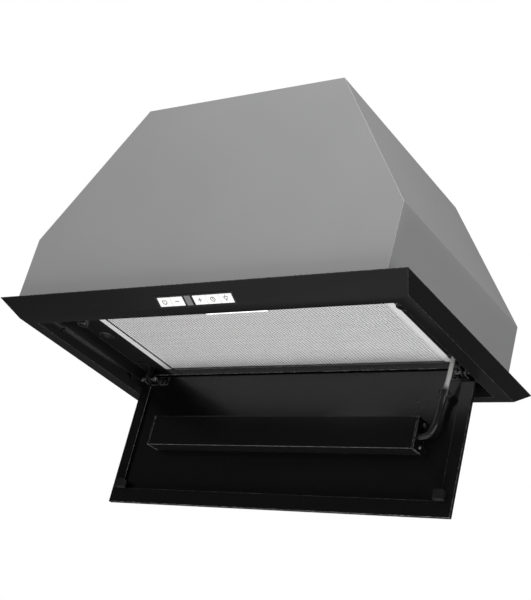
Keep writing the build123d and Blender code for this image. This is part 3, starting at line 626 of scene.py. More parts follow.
@dataclass(frozen=True)
class CircuitBoard(Finish):
    """Solder mask over copper tracks."""

    track: Colour = (0.09, 0.34, 0.16)
    pitch: float = 240.0

    def coat(self, surface: Surface) -> None:
        """Tracks and pads from brick and cell patterns, raised a little.

        Args:
            surface: The new material's surface.
        """
        place = object_place(surface)
        tracks = surface.add("ShaderNodeTexBrick", offset=0.37)
        surface.fill(tracks, Vector=place, Scale=self.pitch, Mortar_Size=0.06, Row_Height=0.5)
        pads = surface.node("ShaderNodeTexVoronoi", Vector=place, Scale=self.pitch * 0.6)
        pad = surface.remap(pads.outputs["Distance"], 0.16, 0.12, (0.0, 1.0))
        colour = surface.blend(tracks.outputs["Fac"], self.colour, self.track)
        colour = surface.blend(pad, colour, (0.62, 0.6, 0.55))
        surface.dress(Base_Color=colour)
        surface.dress(Roughness=surface.remap(pad, 0.0, 1.0, (self.roughness, 0.3)))
        surface.bump(surface.maths("MAXIMUM", tracks.outputs["Fac"], pad), 3e-5)


@dataclass(frozen=True)
class MeshPack(Finish):
    """The deeper sheets of the grease filter, seen through the front ones, in painted shade."""

    cells: float = 420.0
    hollow_shade: Colour = (0.03, 0.03, 0.031)

    def coat(self, surface: Surface) -> None:
        """Dark metal strands around near-black cells, in two sizes laid across each other: painted shade
        for the depth of the pack.

        Args:
            surface: The new material's surface.
        """
        place = object_place(surface)
        fine = surface.add("ShaderNodeTexVoronoi", feature="DISTANCE_TO_EDGE")
        surface.fill(fine, Vector=place, Scale=self.cells)
        coarse = surface.add("ShaderNodeTexVoronoi", feature="DISTANCE_TO_EDGE")
        surface.fill(coarse, Vector=stretched(surface, place, (1.0, 1.7, 1.0)), Scale=self.cells * 0.6)
        strand = surface.maths(
            "MAXIMUM",
            surface.remap(fine.outputs["Distance"], 0.16, 0.08, (0.0, 1.0)),
            surface.remap(coarse.outputs["Distance"], 0.14, 0.06, (0.0, 1.0)),
        )
        # Strands and cells both painted dark: painted shade within the pack.
        surface.dress(Base_Color=surface.blend(strand, self.hollow_shade, self.colour))
        surface.dress(Roughness=surface.remap(strand, 0.0, 1.0, (0.8, self.roughness)), Metallic=0.6)
        surface.bump(strand, 3e-4)


CANOPY_PAINT = Paint("canopy_paint", (0.315, 0.315, 0.317), 0.42, peel=520.0, peel_depth=4e-6,
                     cloud=0.02, smear=0.3, dust=0.35, wear=0.15)
# On the black paints the grey edge colour is partly wear and partly a painted highlight on the folded
# edges.
RIM_PAINT = Paint("rim_paint", (0.0035, 0.0035, 0.0036), 0.24, peel=380.0, smear=0.3, dust=0.18,
                  wear=0.35, edge_wear_and_highlight_colour=(0.22, 0.22, 0.22), clear_coat=0.15)
CHAMBER_PAINT = Paint("chamber_paint", (0.0035, 0.0035, 0.0036), 0.3, smear=0.4, dust=0.1,
                      wear=0.3, edge_wear_and_highlight_colour=(0.2, 0.2, 0.2), clear_coat=0.3)
# The flap's pale edges are mostly a painted highlight: the bright lines where its hems and returns catch
# the light.
FLAP_PAINT = Paint("flap_paint", (0.0028, 0.0028, 0.0029), 0.25, peel=400.0, smear=0.35, dust=0.1,
                   wear=0.7, edge_wear_and_highlight_colour=(0.4, 0.4, 0.4), clear_coat=0.2)
MOTOR_ENAMEL = Paint("motor_enamel", (0.19, 0.19, 0.2), 0.45, smear=0.5)
ZINC_SHEET = BareMetal("galvanised_sheet", (0.58, 0.59, 0.6), 0.38, spangle=160.0, dust=0.2)
BRIGHT_STEEL = BareMetal("bright_zinc_plate", (0.66, 0.66, 0.67), 0.24, tone=0.08)
FILTER_ALUMINIUM = BareMetal("filter_aluminium", (0.93, 0.93, 0.935), 0.42, tone=0.05, smear=0.3,
                             metallic=0.55)
LATCH_ALUMINIUM = BareMetal("latch_aluminium", (0.95, 0.95, 0.95), 0.4, tone=0.03, metallic=0.2)
FRAME_ALUMINIUM = BareMetal("frame_aluminium", (0.62, 0.62, 0.625), 0.42, tone=0.05, smear=0.3,
                            metallic=0.55)
# Filter aluminium painted near-black: painted shade for the second sheet, which lies behind the front one.
SHADED_ALUMINIUM = BareMetal("dull_aluminium", (0.07, 0.07, 0.071), 0.55, metallic=0.7)
BLACK_STEEL = BareMetal("black_zinc_plate", (0.06, 0.06, 0.062), 0.3)
MAGNET_PLATE = BareMetal("nickel_plate", (0.5, 0.5, 0.5), 0.22)
SATIN_BEZEL = BareMetal("satin_bezel", (0.17, 0.17, 0.175), 0.36)
# The deeper sheets painted dark: painted shade for the depth of the filter.
MESH_PACK = MeshPack("mesh_pack", (0.07, 0.07, 0.071), 0.6)
BLACK_PLASTIC = Moulded("black_plastic", (0.010, 0.010, 0.0105), 0.24)
BLOWER_PLASTIC = Moulded("blower_plastic", (0.05, 0.05, 0.054), 0.5)
KEY_PLASTIC = Moulded("key_plastic", (0.46, 0.46, 0.455), 0.38, grain_depth=4e-6, tone=0.03)
SYMBOL_PRINT = Moulded("symbol_print", (0.02, 0.02, 0.022), 0.5)
DISPLAY_GLASS = Moulded("display_window", (0.09, 0.09, 0.092), 0.1, grain_depth=1e-6, smear=0.6)
SLEEVE_RUBBER = CableJacket("sleeve_black", (0.012, 0.012, 0.012), 0.14, scuff=(0.06, 0.06, 0.06))
HOSE_GREY = CableJacket("cable_grey", (0.27, 0.27, 0.265), 0.26, scuff=(0.36, 0.36, 0.36))
LED_PHOSPHOR = Moulded("led_phosphor", (0.86, 0.78, 0.42), 0.5, tone=0.1)
LAMP_PANE = FrostedPane("lamp_pane", (0.86, 0.86, 0.84), 0.4)
BOARD_GREEN = CircuitBoard("circuit_board", (0.03, 0.17, 0.08), 0.36)


# ============================================================================= pieces
def adopt(obj: bpy.types.Object, body: str, slot: str, finish: Finish | None, *nodes: str) -> None:
    """Makes a finished piece part of the hood.

    Args:
        obj: The piece, in place.
        body: The CAD body that it moves with.
        slot: The record's material slot; not used.
        finish: Its finish, or None where its mesh already carries one.
        nodes: The CAD nodes that it stands for.
    """
    if finish is not None:
        obj.data.materials.clear()
        obj.data.materials.append(finish.material())
    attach(obj, body)
    if nodes:
        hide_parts(*nodes)
    LOG.info("%s: %d faces on %s", obj.name, len(obj.data.polygons), body)


def plain_mesh(obj: bpy.types.Object, name: str, keep: bool = False) -> bpy.types.Object:
    """Turns an object with modifiers, or a curve, into a plain mesh object.

    Args:
        obj: The object to evaluate.
        name: The new object's name.
        keep: Leaves the source in the scene where true.

    Returns:
        The new mesh object, at the origin.
    """
    graph = bpy.context.evaluated_depsgraph_get()
    mesh = bpy.data.meshes.new_from_object(obj.evaluated_get(graph), depsgraph=graph)
    mesh.transform(obj.matrix_world)
    made = bpy.data.objects.new(name, mesh)
    mesh.name = name
    bpy.context.scene.collection.objects.link(made)
    if not keep:
        bpy.data.objects.remove(obj)
    return made


def mesh_object(name: str, bm: bmesh.types.BMesh) -> bpy.types.Object:
    """Puts a bmesh in the scene, and frees it.

    Args:
        name: The object's name.
        bm: The bmesh.

    Returns:
        The new object.
    """
    mesh = bpy.data.meshes.new(name)
    bm.to_mesh(mesh)
    bm.free()
    made = bpy.data.objects.new(name, mesh)
    bpy.context.scene.collection.objects.link(made)
    return made


def node_mesh(node: str) -> bmesh.types.BMesh:
    """A CAD node's mesh with its loose triangles joined.

    Args:
        node: The CAD node.

    Returns:
        The joined mesh, which the caller frees.
    """
    bm = bmesh.new()
    bm.from_mesh(frame["nodes"][node].data)
    bmesh.ops.remove_doubles(bm, verts=bm.verts, dist=2e-6)
    return bm


def solids_of(node: str) -> list[tuple[Vector, Vector]]:
    """The lowest and highest corner of each separate solid in a CAD node.

    Args:
        node: The CAD node.

    Returns:
        The pairs of corners, in the order of the lowest ones.
    """
    bm = node_mesh(node)
    left = set(bm.verts)
    boxes = []
    while left:
        group, todo = [], [left.pop()]
        while todo:
            vert = todo.pop()
            group.append(vert.co.copy())
            for edge in vert.link_edges:
                other = edge.other_vert(vert)
                if other in left:
                    left.discard(other)
                    todo.append(other)
        low = Vector(min(co[i] for co in group) for i in range(3))
        high = Vector(max(co[i] for co in group) for i in range(3))
        boxes.append((low, high))
    bm.free()
    return sorted(boxes, key=lambda box: tuple(round(value, 5) for value in box[0]))


def crisp(node: str, width: float, segments: int = 2) -> bpy.types.Object:
    """A copy of a CAD node with its sharp edges rounded, as folded and moulded edges are.

    Args:
        node: The CAD node.
        width: How wide the rounding is, in metres.
        segments: How many faces cross it.

    Returns:
        The rounded copy, not yet on a body.
    """
    bm = node_mesh(node)
    bmesh.ops.dissolve_limit(bm, angle_limit=FLAT_JOIN, verts=bm.verts, edges=bm.edges)
    for face in bm.faces:
        face.smooth = True
    rough = mesh_object(f"{node}_rough", bm)
    bevel = rough.modifiers.new("folds", "BEVEL")
    bevel.width = width
    bevel.segments = segments
    bevel.limit_method = "ANGLE"
    bevel.angle_limit = SHARP_EDGE
    bevel.use_clamp_overlap = True
    bevel.miter_outer = "MITER_ARC"
    weighted = rough.modifiers.new("flats", "WEIGHTED_NORMAL")
    weighted.keep_sharp = True
    return plain_mesh(rough, f"{node}_piece")


def body_of_node(node: str) -> str:
    """The body that a CAD node belongs to."""
    return frame["nodes"][node]["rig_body"]


def slot_of_node(node: str) -> str:
    """The record's material slot of a CAD node."""
    return next(s["material_slot"] for s in frame["record"]["subparts"] if s["node"] == node)


def rounded(node: str, finish: Finish, width: float, segments: int = 2) -> None:
    """Replaces a CAD node with its rounded copy in a finish.

    Args:
        node: The CAD node.
        finish: The copy's finish.
        width: How wide the rounding is, in metres.
        segments: How many faces cross it.
    """
    piece = crisp(node, width, segments)
    adopt(piece, body_of_node(node), slot_of_node(node), finish, node)


def coat_node(node: str, finish: Finish) -> None:
    """Gives a CAD node that keeps its shape a finish.

    Args:
        node: The CAD node.
        finish: Its finish.
    """
    data = frame["nodes"][node].data
    data.materials.clear()
    data.materials.append(finish.material())
    LOG.info("%s: CAD shape in %s", node, finish.name)


# ============================================================================= geometry trees
class GeometryRig:
    """A geometry tree with named inputs, run on an object to make one plain mesh."""

    def __init__(self, name: str, inputs: Iterable[tuple[str, str, object]]) -> None:
        """Makes the tree with a Geometry input, the named inputs and a Finish.

        Args:
            name: The tree's name.
            inputs: Each input's name, kind and default.
        """
        self.graph = Graph(bpy.data.node_groups.new(name, "GeometryNodeTree"))
        everything = [("Geometry", "Geometry", None), *inputs, ("Finish", "Material", None)]
        self.graph.interface(everything, [("Geometry", "Geometry")])

    def close(self, made: Socket) -> None:
        """Ends the tree: instances made real, then the finish set.

        Args:
            made: The geometry's socket.
        """
        real = self.graph.add("GeometryNodeRealizeInstances")
        self.graph.feed(real.inputs[0], made)
        painted = self.graph.add("GeometryNodeSetMaterial")
        self.graph.feed(painted.inputs["Geometry"], real.outputs[0])
        self.graph.feed(painted.inputs["Material"], self.graph.given("Finish"))
        self.graph.give(Geometry=painted.outputs[0])

    def run(self, carrier: bpy.types.Object, name: str, **values: object) -> bpy.types.Object:
        """Runs the tree on a carrier object, which goes.

        Args:
            carrier: The object that the tree starts from.
            name: The new piece's name.
            values: The tree's inputs by name, with an underscore for each space.

        Returns:
            The plain mesh that the tree makes.
        """
        modifier = carrier.modifiers.new("tree", "NODES")
        modifier.node_group = self.graph.tree
        for item in self.graph.tree.interface.items_tree:
            key = item.name.replace(" ", "_")
            if item.in_out == "INPUT" and key in values:
                modifier[item.identifier] = values[key]
        return plain_mesh(carrier, name)


def smooth_by_angle(obj: bpy.types.Object, degrees: float = 35.0) -> None:
    """Smooths a mesh's faces, but not across edges sharper than an angle.

    Args:
        obj: The mesh object.
        degrees: The angle.
    """
    bm = bmesh.new()
    bm.from_mesh(obj.data)
    limit = math.radians(degrees)
    for face in bm.faces:
        face.smooth = True
    for edge in bm.edges:
        edge.smooth = not (len(edge.link_faces) == 2 and edge.calc_face_angle(0.0) > limit)
    bm.to_mesh(obj.data)
    bm.free()


def fastener_rig() -> GeometryRig:
    """Heads on points: each turned to its point's "facing" and spun at random about it.

    Returns:
        The rig.
    """
    rig = GeometryRig(
        "fastener_heads",
        [("Head", "Object", None), ("Radius", "Float", 0.002), ("Seed", "Int", 7)],
    )
    graph = rig.graph
    facing = graph.add("GeometryNodeInputNamedAttribute", data_type="FLOAT_VECTOR")
    graph.fill(facing, Name="facing")
    upright = graph.add("FunctionNodeAlignRotationToVector", axis="Z")
    graph.fill(upright, Vector=facing.outputs[0])
    random = graph.add("FunctionNodeRandomValue", data_type="FLOAT")
    graph.feed(random.inputs[3], math.tau)
    graph.fill(random, Seed=graph.given("Seed"))
    spin = graph.node("FunctionNodeAxisAngleToRotation", Axis=(0.0, 0.0, 1.0), Angle=random.outputs[1])
    turned = graph.add("FunctionNodeRotateRotation", rotation_space="LOCAL")
    graph.feed(turned.inputs[0], upright.outputs[0])
    graph.feed(turned.inputs[1], spin.outputs[0])
    head = graph.node("GeometryNodeObjectInfo", Object=graph.given("Head"))
    placed = graph.add("GeometryNodeInstanceOnPoints")
    graph.fill(
        placed,
        Points=graph.given("Geometry"),
        Instance=head.outputs["Geometry"],
        Rotation=turned.outputs[0],
        Scale=graph.given("Radius"),
    )
    rig.close(placed.outputs[0])
    return rig


def strand_sheet_rig() -> GeometryRig:
    """Expanded metal: rows of zigzag strands that meet their neighbours at every knuckle.

    Returns:
        The rig.
    """
    rig = GeometryRig(
        "expanded_metal",
        [
            ("Width", "Float", 0.37),
            ("Half pitch", "Float", 0.0019),
            ("Row", "Float", 0.0017),
            ("Rows", "Int", 80),
            ("Strand wide", "Float", 0.0008),
            ("Strand thick", "Float", 0.0003),
            ("Lean", "Float", 0.6),
            ("Wave", "Float", 0.0003),
        ],
    )
    graph = rig.graph
    half = graph.times(graph.given("Width"), 0.5)
    line = graph.add("GeometryNodeCurvePrimitiveLine")
    graph.fill(line, Start=graph.vector(X=graph.times(half, -1.0)), End=graph.vector(X=half))
    stepped = graph.add("GeometryNodeResampleCurve", mode="LENGTH")
    graph.fill(stepped, Curve=line.outputs[0], Length=graph.given("Half pitch"))
    odd = graph.maths("MODULO", graph.add("GeometryNodeInputIndex").outputs[0], 2.0)
    aside = graph.times(graph.minus(odd, 0.5), graph.given("Row"))
    shift = graph.vector(Y=aside, Z=graph.times(odd, graph.given("Wave")))
    zigzag = graph.node("GeometryNodeSetPosition", Geometry=stepped.outputs[0], Offset=shift)
    leaning = graph.node("GeometryNodeSetCurveTilt", Curve=zigzag.outputs[0], Tilt=graph.given("Lean"))
    section = graph.add("GeometryNodeCurvePrimitiveQuadrilateral")
    graph.fill(section, Width=graph.given("Strand wide"), Height=graph.given("Strand thick"))
    strand = graph.add("GeometryNodeCurveToMesh")
    graph.fill(strand, Curve=leaning.outputs[0], Profile_Curve=section.outputs[0], Fill_Caps=True)
    row = graph.given("Row")
    spread = graph.times(row, graph.minus(graph.given("Rows"), 1.0))
    first = graph.vector(Y=graph.times(spread, -0.5))
    rows = graph.add("GeometryNodeMeshLine")
    graph.fill(rows, Count=graph.given("Rows"), Start_Location=first, Offset=graph.vector(Y=row))
    row_index = graph.add("GeometryNodeInputIndex").outputs[0]
    second = graph.maths("MODULO", row_index, 2.0)
    sides = graph.vector(X=1.0, Y=graph.minus(1.0, graph.times(second, 2.0)), Z=1.0)
    placed = graph.add("GeometryNodeInstanceOnPoints")
    graph.fill(placed, Points=rows.outputs[0], Instance=strand.outputs[0], Scale=sides)
    joined = graph.add("GeometryNodeJoinGeometry")
    graph.feed(joined.inputs[0], placed.outputs[0])
    graph.feed(joined.inputs[0], graph.given("Geometry"))
    rig.close(joined.outputs[0])
    return rig


def hose_rig() -> GeometryRig:
    """A tube along a route, ribbed where asked, with its length and turn kept as a map.

    Returns:
        The rig.
    """
    rig = GeometryRig(
        "ribbed_hose",
        [
            ("Radius", "Float", 0.003),
            ("Rib depth", "Float", 0.0),
            ("Rib pitch", "Float", 0.002),
            ("Step", "Float", 0.0005),
            ("Taper", "Float", 0.0),
            ("Flare", "Float", 0.0),
        ],
    )
    graph = rig.graph
    stepped = graph.add("GeometryNodeResampleCurve", mode="LENGTH")
    graph.fill(stepped, Curve=graph.given("Geometry"), Length=graph.given("Step"))
    spline = graph.add("GeometryNodeSplineParameter")
    length = spline.outputs["Length"]
    kept = graph.add("GeometryNodeStoreNamedAttribute", data_type="FLOAT", domain="POINT")
    graph.fill(kept, Geometry=stepped.outputs[0], Name="along")
    graph.feed(kept.inputs["Value"], length)
    turns = graph.maths("DIVIDE", length, graph.given("Rib pitch"))
    wave = graph.maths("SINE", graph.times(turns, math.tau))
    depth = graph.maths("DIVIDE", graph.given("Rib depth"), graph.given("Radius"))
    lowered = graph.times(graph.minus(wave, 1.0), depth)
    ribbed = graph.plus(1.0, graph.times(lowered, 0.5))
    before_end = graph.minus(1.0, spline.outputs["Factor"])
    narrowed = graph.minus(1.0, graph.times(before_end, graph.given("Taper")))
    mouth = graph.remap(spline.outputs["Factor"], 0.86, 1.0, (0.0, 1.0))
    flared = graph.times(graph.maths("POWER", mouth, 2.0), graph.given("Flare"))
    scale = graph.times(ribbed, graph.plus(narrowed, flared))
    ring = graph.node("GeometryNodeCurvePrimitiveCircle", Resolution=20, Radius=graph.given("Radius"))
    around = graph.add("GeometryNodeStoreNamedAttribute", data_type="FLOAT", domain="POINT")
    graph.fill(around, Geometry=ring.outputs[0], Name="around")
    graph.feed(around.inputs["Value"], graph.add("GeometryNodeSplineParameter").outputs["Factor"])
    swept = graph.add("GeometryNodeCurveToMesh")
    graph.fill(
        swept, Curve=kept.outputs[0], Profile_Curve=around.outputs[0], Scale=scale, Fill_Caps=True
    )
    pair = {}
    for axis, name in (("X", "along"), ("Y", "around")):
        kept_value = graph.add("GeometryNodeInputNamedAttribute", data_type="FLOAT")
        pair[axis] = graph.fill(kept_value, Name=name).outputs[0]
    mapped = graph.add("GeometryNodeStoreNamedAttribute", data_type="FLOAT2", domain="CORNER")
    graph.fill(mapped, Geometry=swept.outputs[0], Name="route")
    graph.feed(mapped.inputs["Value"], graph.vector(**pair))
    rig.close(mapped.outputs[0])
    return rig


def rib_row_rig() -> GeometryRig:
    """A row of equal ribs along X, such as a lamp window's prisms.

    Returns:
        The rig.
    """
    rig = GeometryRig(
        "rib_row",
        [("Count", "Int", 60), ("Pitch", "Float", 0.003), ("Rib", "Object", None)],
    )
    graph = rig.graph
    pitch = graph.given("Pitch")
    spread = graph.times(pitch, graph.minus(graph.given("Count"), 1.0))
    first = graph.vector(X=graph.times(spread, -0.5))
    points = graph.add("GeometryNodeMeshLine")
    graph.fill(points, Count=graph.given("Count"), Start_Location=first, Offset=graph.vector(X=pitch))
    rib = graph.node("GeometryNodeObjectInfo", Object=graph.given("Rib"))
    placed = graph.add("GeometryNodeInstanceOnPoints")
    graph.fill(placed, Points=points.outputs[0], Instance=rib.outputs["Geometry"])
    rig.close(placed.outputs[0])
    return rig


def carrier_points(name: str, places: Sequence[Vector], facing: Sequence[Vector]) -> bpy.types.Object:
    """Loose points with a direction each, for a geometry tree to start from.

    Args:
        name: The object's name.
        places: The points.
        facing: Each point's direction.

    Returns:
        The object with the points.
    """
    mesh = bpy.data.meshes.new(name)
    mesh.from_pydata([tuple(place) for place in places], [], [])
    way = mesh.attributes.new("facing", "FLOAT_VECTOR", "POINT")
    way.data.foreach_set("vector", [value for vector in facing for value in vector])
    made = bpy.data.objects.new(name, mesh)
    bpy.context.scene.collection.objects.link(made)
    return made


# ============================================================================= fasteners
class HeadStyle(Enum):
    """The heads that the hood's fasteners have."""

    CROSS_PAN = "cross_pan"
    RIVET = "rivet"


@dataclass
class Fasteners:
    """Screw and rivet heads, each with its shank, in place of the plain CAD ones."""

    dome_rings: int = 5
    around: int = 28
    crown: float = 0.62
    height: float = 0.56
    straight: float = 0.28
    rivet_tip: float = 1.12
    recess_arm: float = 0.46
    recess_half: float = 0.11
    recess_depth: float = 0.34
    shank: float = 0.46
    shank_long: float = 1.6
    rig: GeometryRig = field(default_factory=fastener_rig)

    def template(self, style: HeadStyle) -> bpy.types.Object:
        """One head of radius 1 that stands on the origin and faces +Z.

        Args:
            style: A cross-recessed pan head or a closed rivet dome.

        Returns:
            The template object, which is removed once it is used.
        """
        bm = bmesh.new()
        rings = [self._ring(bm, self.shank, -self.shank_long), self._ring(bm, self.shank, 0.0)]
        rings += [self._ring(bm, 1.0, 0.0), self._ring(bm, 1.0, self.height * self.straight)]
        for i in range(1, self.dome_rings + 1):
            turn = math.pi / 2 * i / self.dome_rings
            reach = 1.0 - (1.0 - self.crown) * (1 - math.cos(turn))
            rise = self.height * (self.straight + (1.0 - self.straight) * math.sin(turn))
            rings.append(self._ring(bm, reach, rise))
        for low, high in zip(rings, rings[1:]):
            for i in range(self.around):
                j = (i + 1) % self.around
                bm.faces.new((low[i], low[j], high[j], high[i]))
        bm.faces.new(list(reversed(rings[0])))
        if style is HeadStyle.CROSS_PAN:
            self._recess(bm, rings[-1])
        else:
            tip = bm.verts.new((0, 0, self.height * self.rivet_tip))
            for i in range(self.around):
                bm.faces.new((rings[-1][i], rings[-1][(i + 1) % self.around], tip))
        bmesh.ops.recalc_face_normals(bm, faces=bm.faces)
        made = mesh_object(f"head_{style.value}", bm)
        smooth_by_angle(made, 40.0)
        return made

    def _ring(self, bm: bmesh.types.BMesh, radius: float, z: float) -> list[bmesh.types.BMVert]:
        """A ring of points round the head's axis."""
        turns = (math.tau * i / self.around for i in range(self.around))
        return [bm.verts.new((radius * math.cos(t), radius * math.sin(t), z)) for t in turns]

    def _recess(self, bm: bmesh.types.BMesh, rim: list[bmesh.types.BMVert]) -> None:
        """Fills the head's crown round a cross, and sinks the cross.

        Args:
            bm: The head's mesh.
            rim: The ring round the crown.
        """
        a, h = self.recess_arm, self.recess_half
        quarter = [(a, -h), (a, h), (h, h)]
        outline = []
        for turn in range(4):
            c, s = round(math.cos(turn * math.pi / 2)), round(math.sin(turn * math.pi / 2))
            outline += [(x * c - y * s, x * s + y * c) for x, y in quarter]
        mouth = [bm.verts.new((x, y, self.height)) for x, y in outline]
        deep = self.height - self.recess_depth
        floor = [bm.verts.new((x * 0.8, y * 0.8, deep)) for x, y in outline]
        count = len(mouth)
        edges = [bm.edges.new((mouth[i], mouth[(i + 1) % count])) for i in range(count)]
        edges += [bm.edges.get((rim[i], rim[(i + 1) % self.around])) for i in range(self.around)]
        bmesh.ops.triangle_fill(bm, edges=edges, use_beauty=True)
        for i in range(count):
            j = (i + 1) % count
            bm.faces.new((mouth[i], mouth[j], floor[j], floor[i]))
        bm.faces.new(floor)

    def fit(
        self, node: str, style: HeadStyle, facing: Sequence[Vector], finish: Finish, seed: int
    ) -> None:
        """Puts heads where a CAD node has its fasteners.

        Args:
            node: The CAD node of fasteners.
            style: The kind of head.
            facing: The way that each head faces, in the order of `solids_of`.
            finish: The heads' finish.
            seed: The seed for how far each head is turned.
        """
        places, radius = [], 0.0
        for (low, high), way in zip(solids_of(node), facing):
            size = high - low
            along = max(range(3), key=lambda i: abs(way[i]))
            radius = max(size[i] for i in range(3) if i != along) / 2
            middle = (low + high) / 2
            middle[along] = high[along] if way[along] > 0 else low[along]
            places.append(middle - way.normalized() * radius * self.height)
        head = self.template(style)
        carrier = carrier_points(f"{node}_points", places, facing)
        piece = self.rig.run(
            carrier, f"{node}_heads", Head=head, Radius=radius, Seed=seed, Finish=finish.material()
        )
        bpy.data.objects.remove(head)
        adopt(piece, body_of_node(node), slot_of_node(node), None, node)


# ============================================================================= canopy and rim
@dataclass
class Canopy:
    """The grey housing that stands inside the cupboard."""

    fold: float = 0.0005
    panels: tuple[str, ...] = (
        "front_panel", "rear_panel", "left_side_panel", "right_side_panel", "top_plate",
    )

    def build(self, fasteners: Fasteners) -> None:
        """Rounds the panels' edges, paints them and fits the rear panel's screws.

        Args:
            fasteners: What fits the screws and rivets.
        """
        for node in self.panels:
            rounded(node, CANOPY_PAINT, self.fold)
        back = [Vector((0, 1, 0))] * len(solids_of("rear_panel_screws"))
        fasteners.fit("rear_panel_screws", HeadStyle.CROSS_PAN, back, BRIGHT_STEEL, 11)


@dataclass
class Rim:
    """The black frame that shows under the cupboard."""

    edge: float = 0.0007
    plate_edge: float = 0.0002

    def build(self) -> None:
        """Rounds the rim's bevels and finishes its bearing plate."""
        rounded("rim_frame", RIM_PAINT, self.edge, 3)
        rounded("bearing_plate", ZINC_SHEET, self.plate_edge, 1)
        coat_node("cupboard_rivet_nuts", BRIGHT_STEEL)


@dataclass
class SuctionChamber:
    """The black tray over the opening, with its caps, screws, catches and grommet."""

    edge: float = 0.0004

    def build(self, fasteners: Fasteners) -> None:
        """Rounds the tray and its fittings.

        Args:
            fasteners: What fits the screws and rivets.
        """
        rounded("chamber_tray", CHAMBER_PAINT, self.edge)
        coat_node("fixing_caps", CHAMBER_PAINT)
        rounded("catch_holders", BLACK_PLASTIC, 0.0006, 3)
        rounded("catch_magnets", MAGNET_PLATE, 0.0003)
        rounded("cable_grommet", BLACK_PLASTIC, 0.0005, 3)
        inward = [Vector((-math.copysign(1, low.x), 0, 0)) for low, _ in solids_of("lip_screws")]
        fasteners.fit("lip_screws", HeadStyle.CROSS_PAN, inward, BLACK_STEEL, 5)


# ============================================================================= grease filter
@dataclass
class GreaseFilter:
    """Expanded aluminium sheets in a folded frame, with a sliding latch."""

    half_pitch: float = 0.00215
    row: float = 0.0013
    strand_wide: float = 0.0006
    strand_thick: float = 0.0003
    lean: float = 0.35
    wave: float = 0.0003
    second_share: float = 1.4
    border: float = 0.0086
    pack_lift: float = 0.0019
    front_lift: float = 0.0004
    second_lift: float = 0.00115
    sheets: GeometryRig = field(default_factory=strand_sheet_rig)

    def build(self) -> None:
        """Builds the two front sheets, the pack behind them, the frame and the latch."""
        low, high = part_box("filter_mesh")
        self._sheet("filter_sheet_front", low, high, 1.0, self.front_lift, FILTER_ALUMINIUM)
        # The second sheet is painted dark, as painted shade behind the front sheet.
        self._sheet(
            "filter_sheet_second", low, high, self.second_share, self.second_lift, SHADED_ALUMINIUM
        )
        self._pack(low, high)
        rounded("filter_frame", FRAME_ALUMINIUM, 0.0003)
        rounded("filter_latch", LATCH_ALUMINIUM, 0.0004, 3)

    def _sheet(
        self, name: str, low: Vector, high: Vector, share: float, lift: float, finish: Finish
    ) -> None:
        """One sheet of expanded metal.

        Args:
            name: The piece's name.
            low: The CAD mesh's lowest corner.
            high: The CAD mesh's highest corner.
            share: How much larger its cells are than the front sheet's.
            lift: How far its middle lies above the CAD mesh's underside.
            finish: The sheet's finish.
        """
        row = self.row * share
        depth = high.y - low.y - 2 * self.border
        carrier = mesh_object(f"{name}_carrier", bmesh.new())
        piece = self.sheets.run(
            carrier,
            name,
            Width=high.x - low.x - 2 * self.border,
            Half_pitch=self.half_pitch * share,
            Row=row,
            Rows=int(depth / row),
            Strand_wide=self.strand_wide * share,
            Strand_thick=self.strand_thick,
            Lean=self.lean,
            Wave=self.wave,
            Finish=finish.material(),
        )
        piece.data.transform(Matrix.Translation(((low.x + high.x) / 2, (low.y + high.y) / 2, low.z + lift)))
        recalculate(piece)
        adopt(piece, body_of_node("filter_mesh"), slot_of_node("filter_mesh"), None)

    def _pack(self, low: Vector, high: Vector) -> None:
        """The deeper sheets, as one thin slab that stands for the CAD mesh.

        Args:
            low: The CAD mesh's lowest corner.
            high: The CAD mesh's highest corner.
        """
        bm = bmesh.new()
        bmesh.ops.create_cube(bm, size=1.0)
        base = low.z + self.pack_lift
        size = (high.x - low.x, high.y - low.y, high.z - base)
        bmesh.ops.scale(bm, vec=size, verts=bm.verts)
        middle = ((low.x + high.x) / 2, (low.y + high.y) / 2, (high.z + base) / 2)
        bmesh.ops.translate(bm, vec=middle, verts=bm.verts)
        bmesh.ops.bevel(bm, geom=bm.edges, offset=0.0004, segments=2, profile=0.5, affect="EDGES")
        adopt(mesh_object("filter_pack", bm), "canopy", "filter_aluminium", MESH_PACK, "filter_mesh")


def recalculate(obj: bpy.types.Object) -> None:
    """Turns every face of a piece outwards.

    Args:
        obj: The piece.
    """
    bm = bmesh.new()
    bm.from_mesh(obj.data)
    bmesh.ops.recalc_face_normals(bm, faces=bm.faces)
    bm.to_mesh(obj.data)
    bm.free()


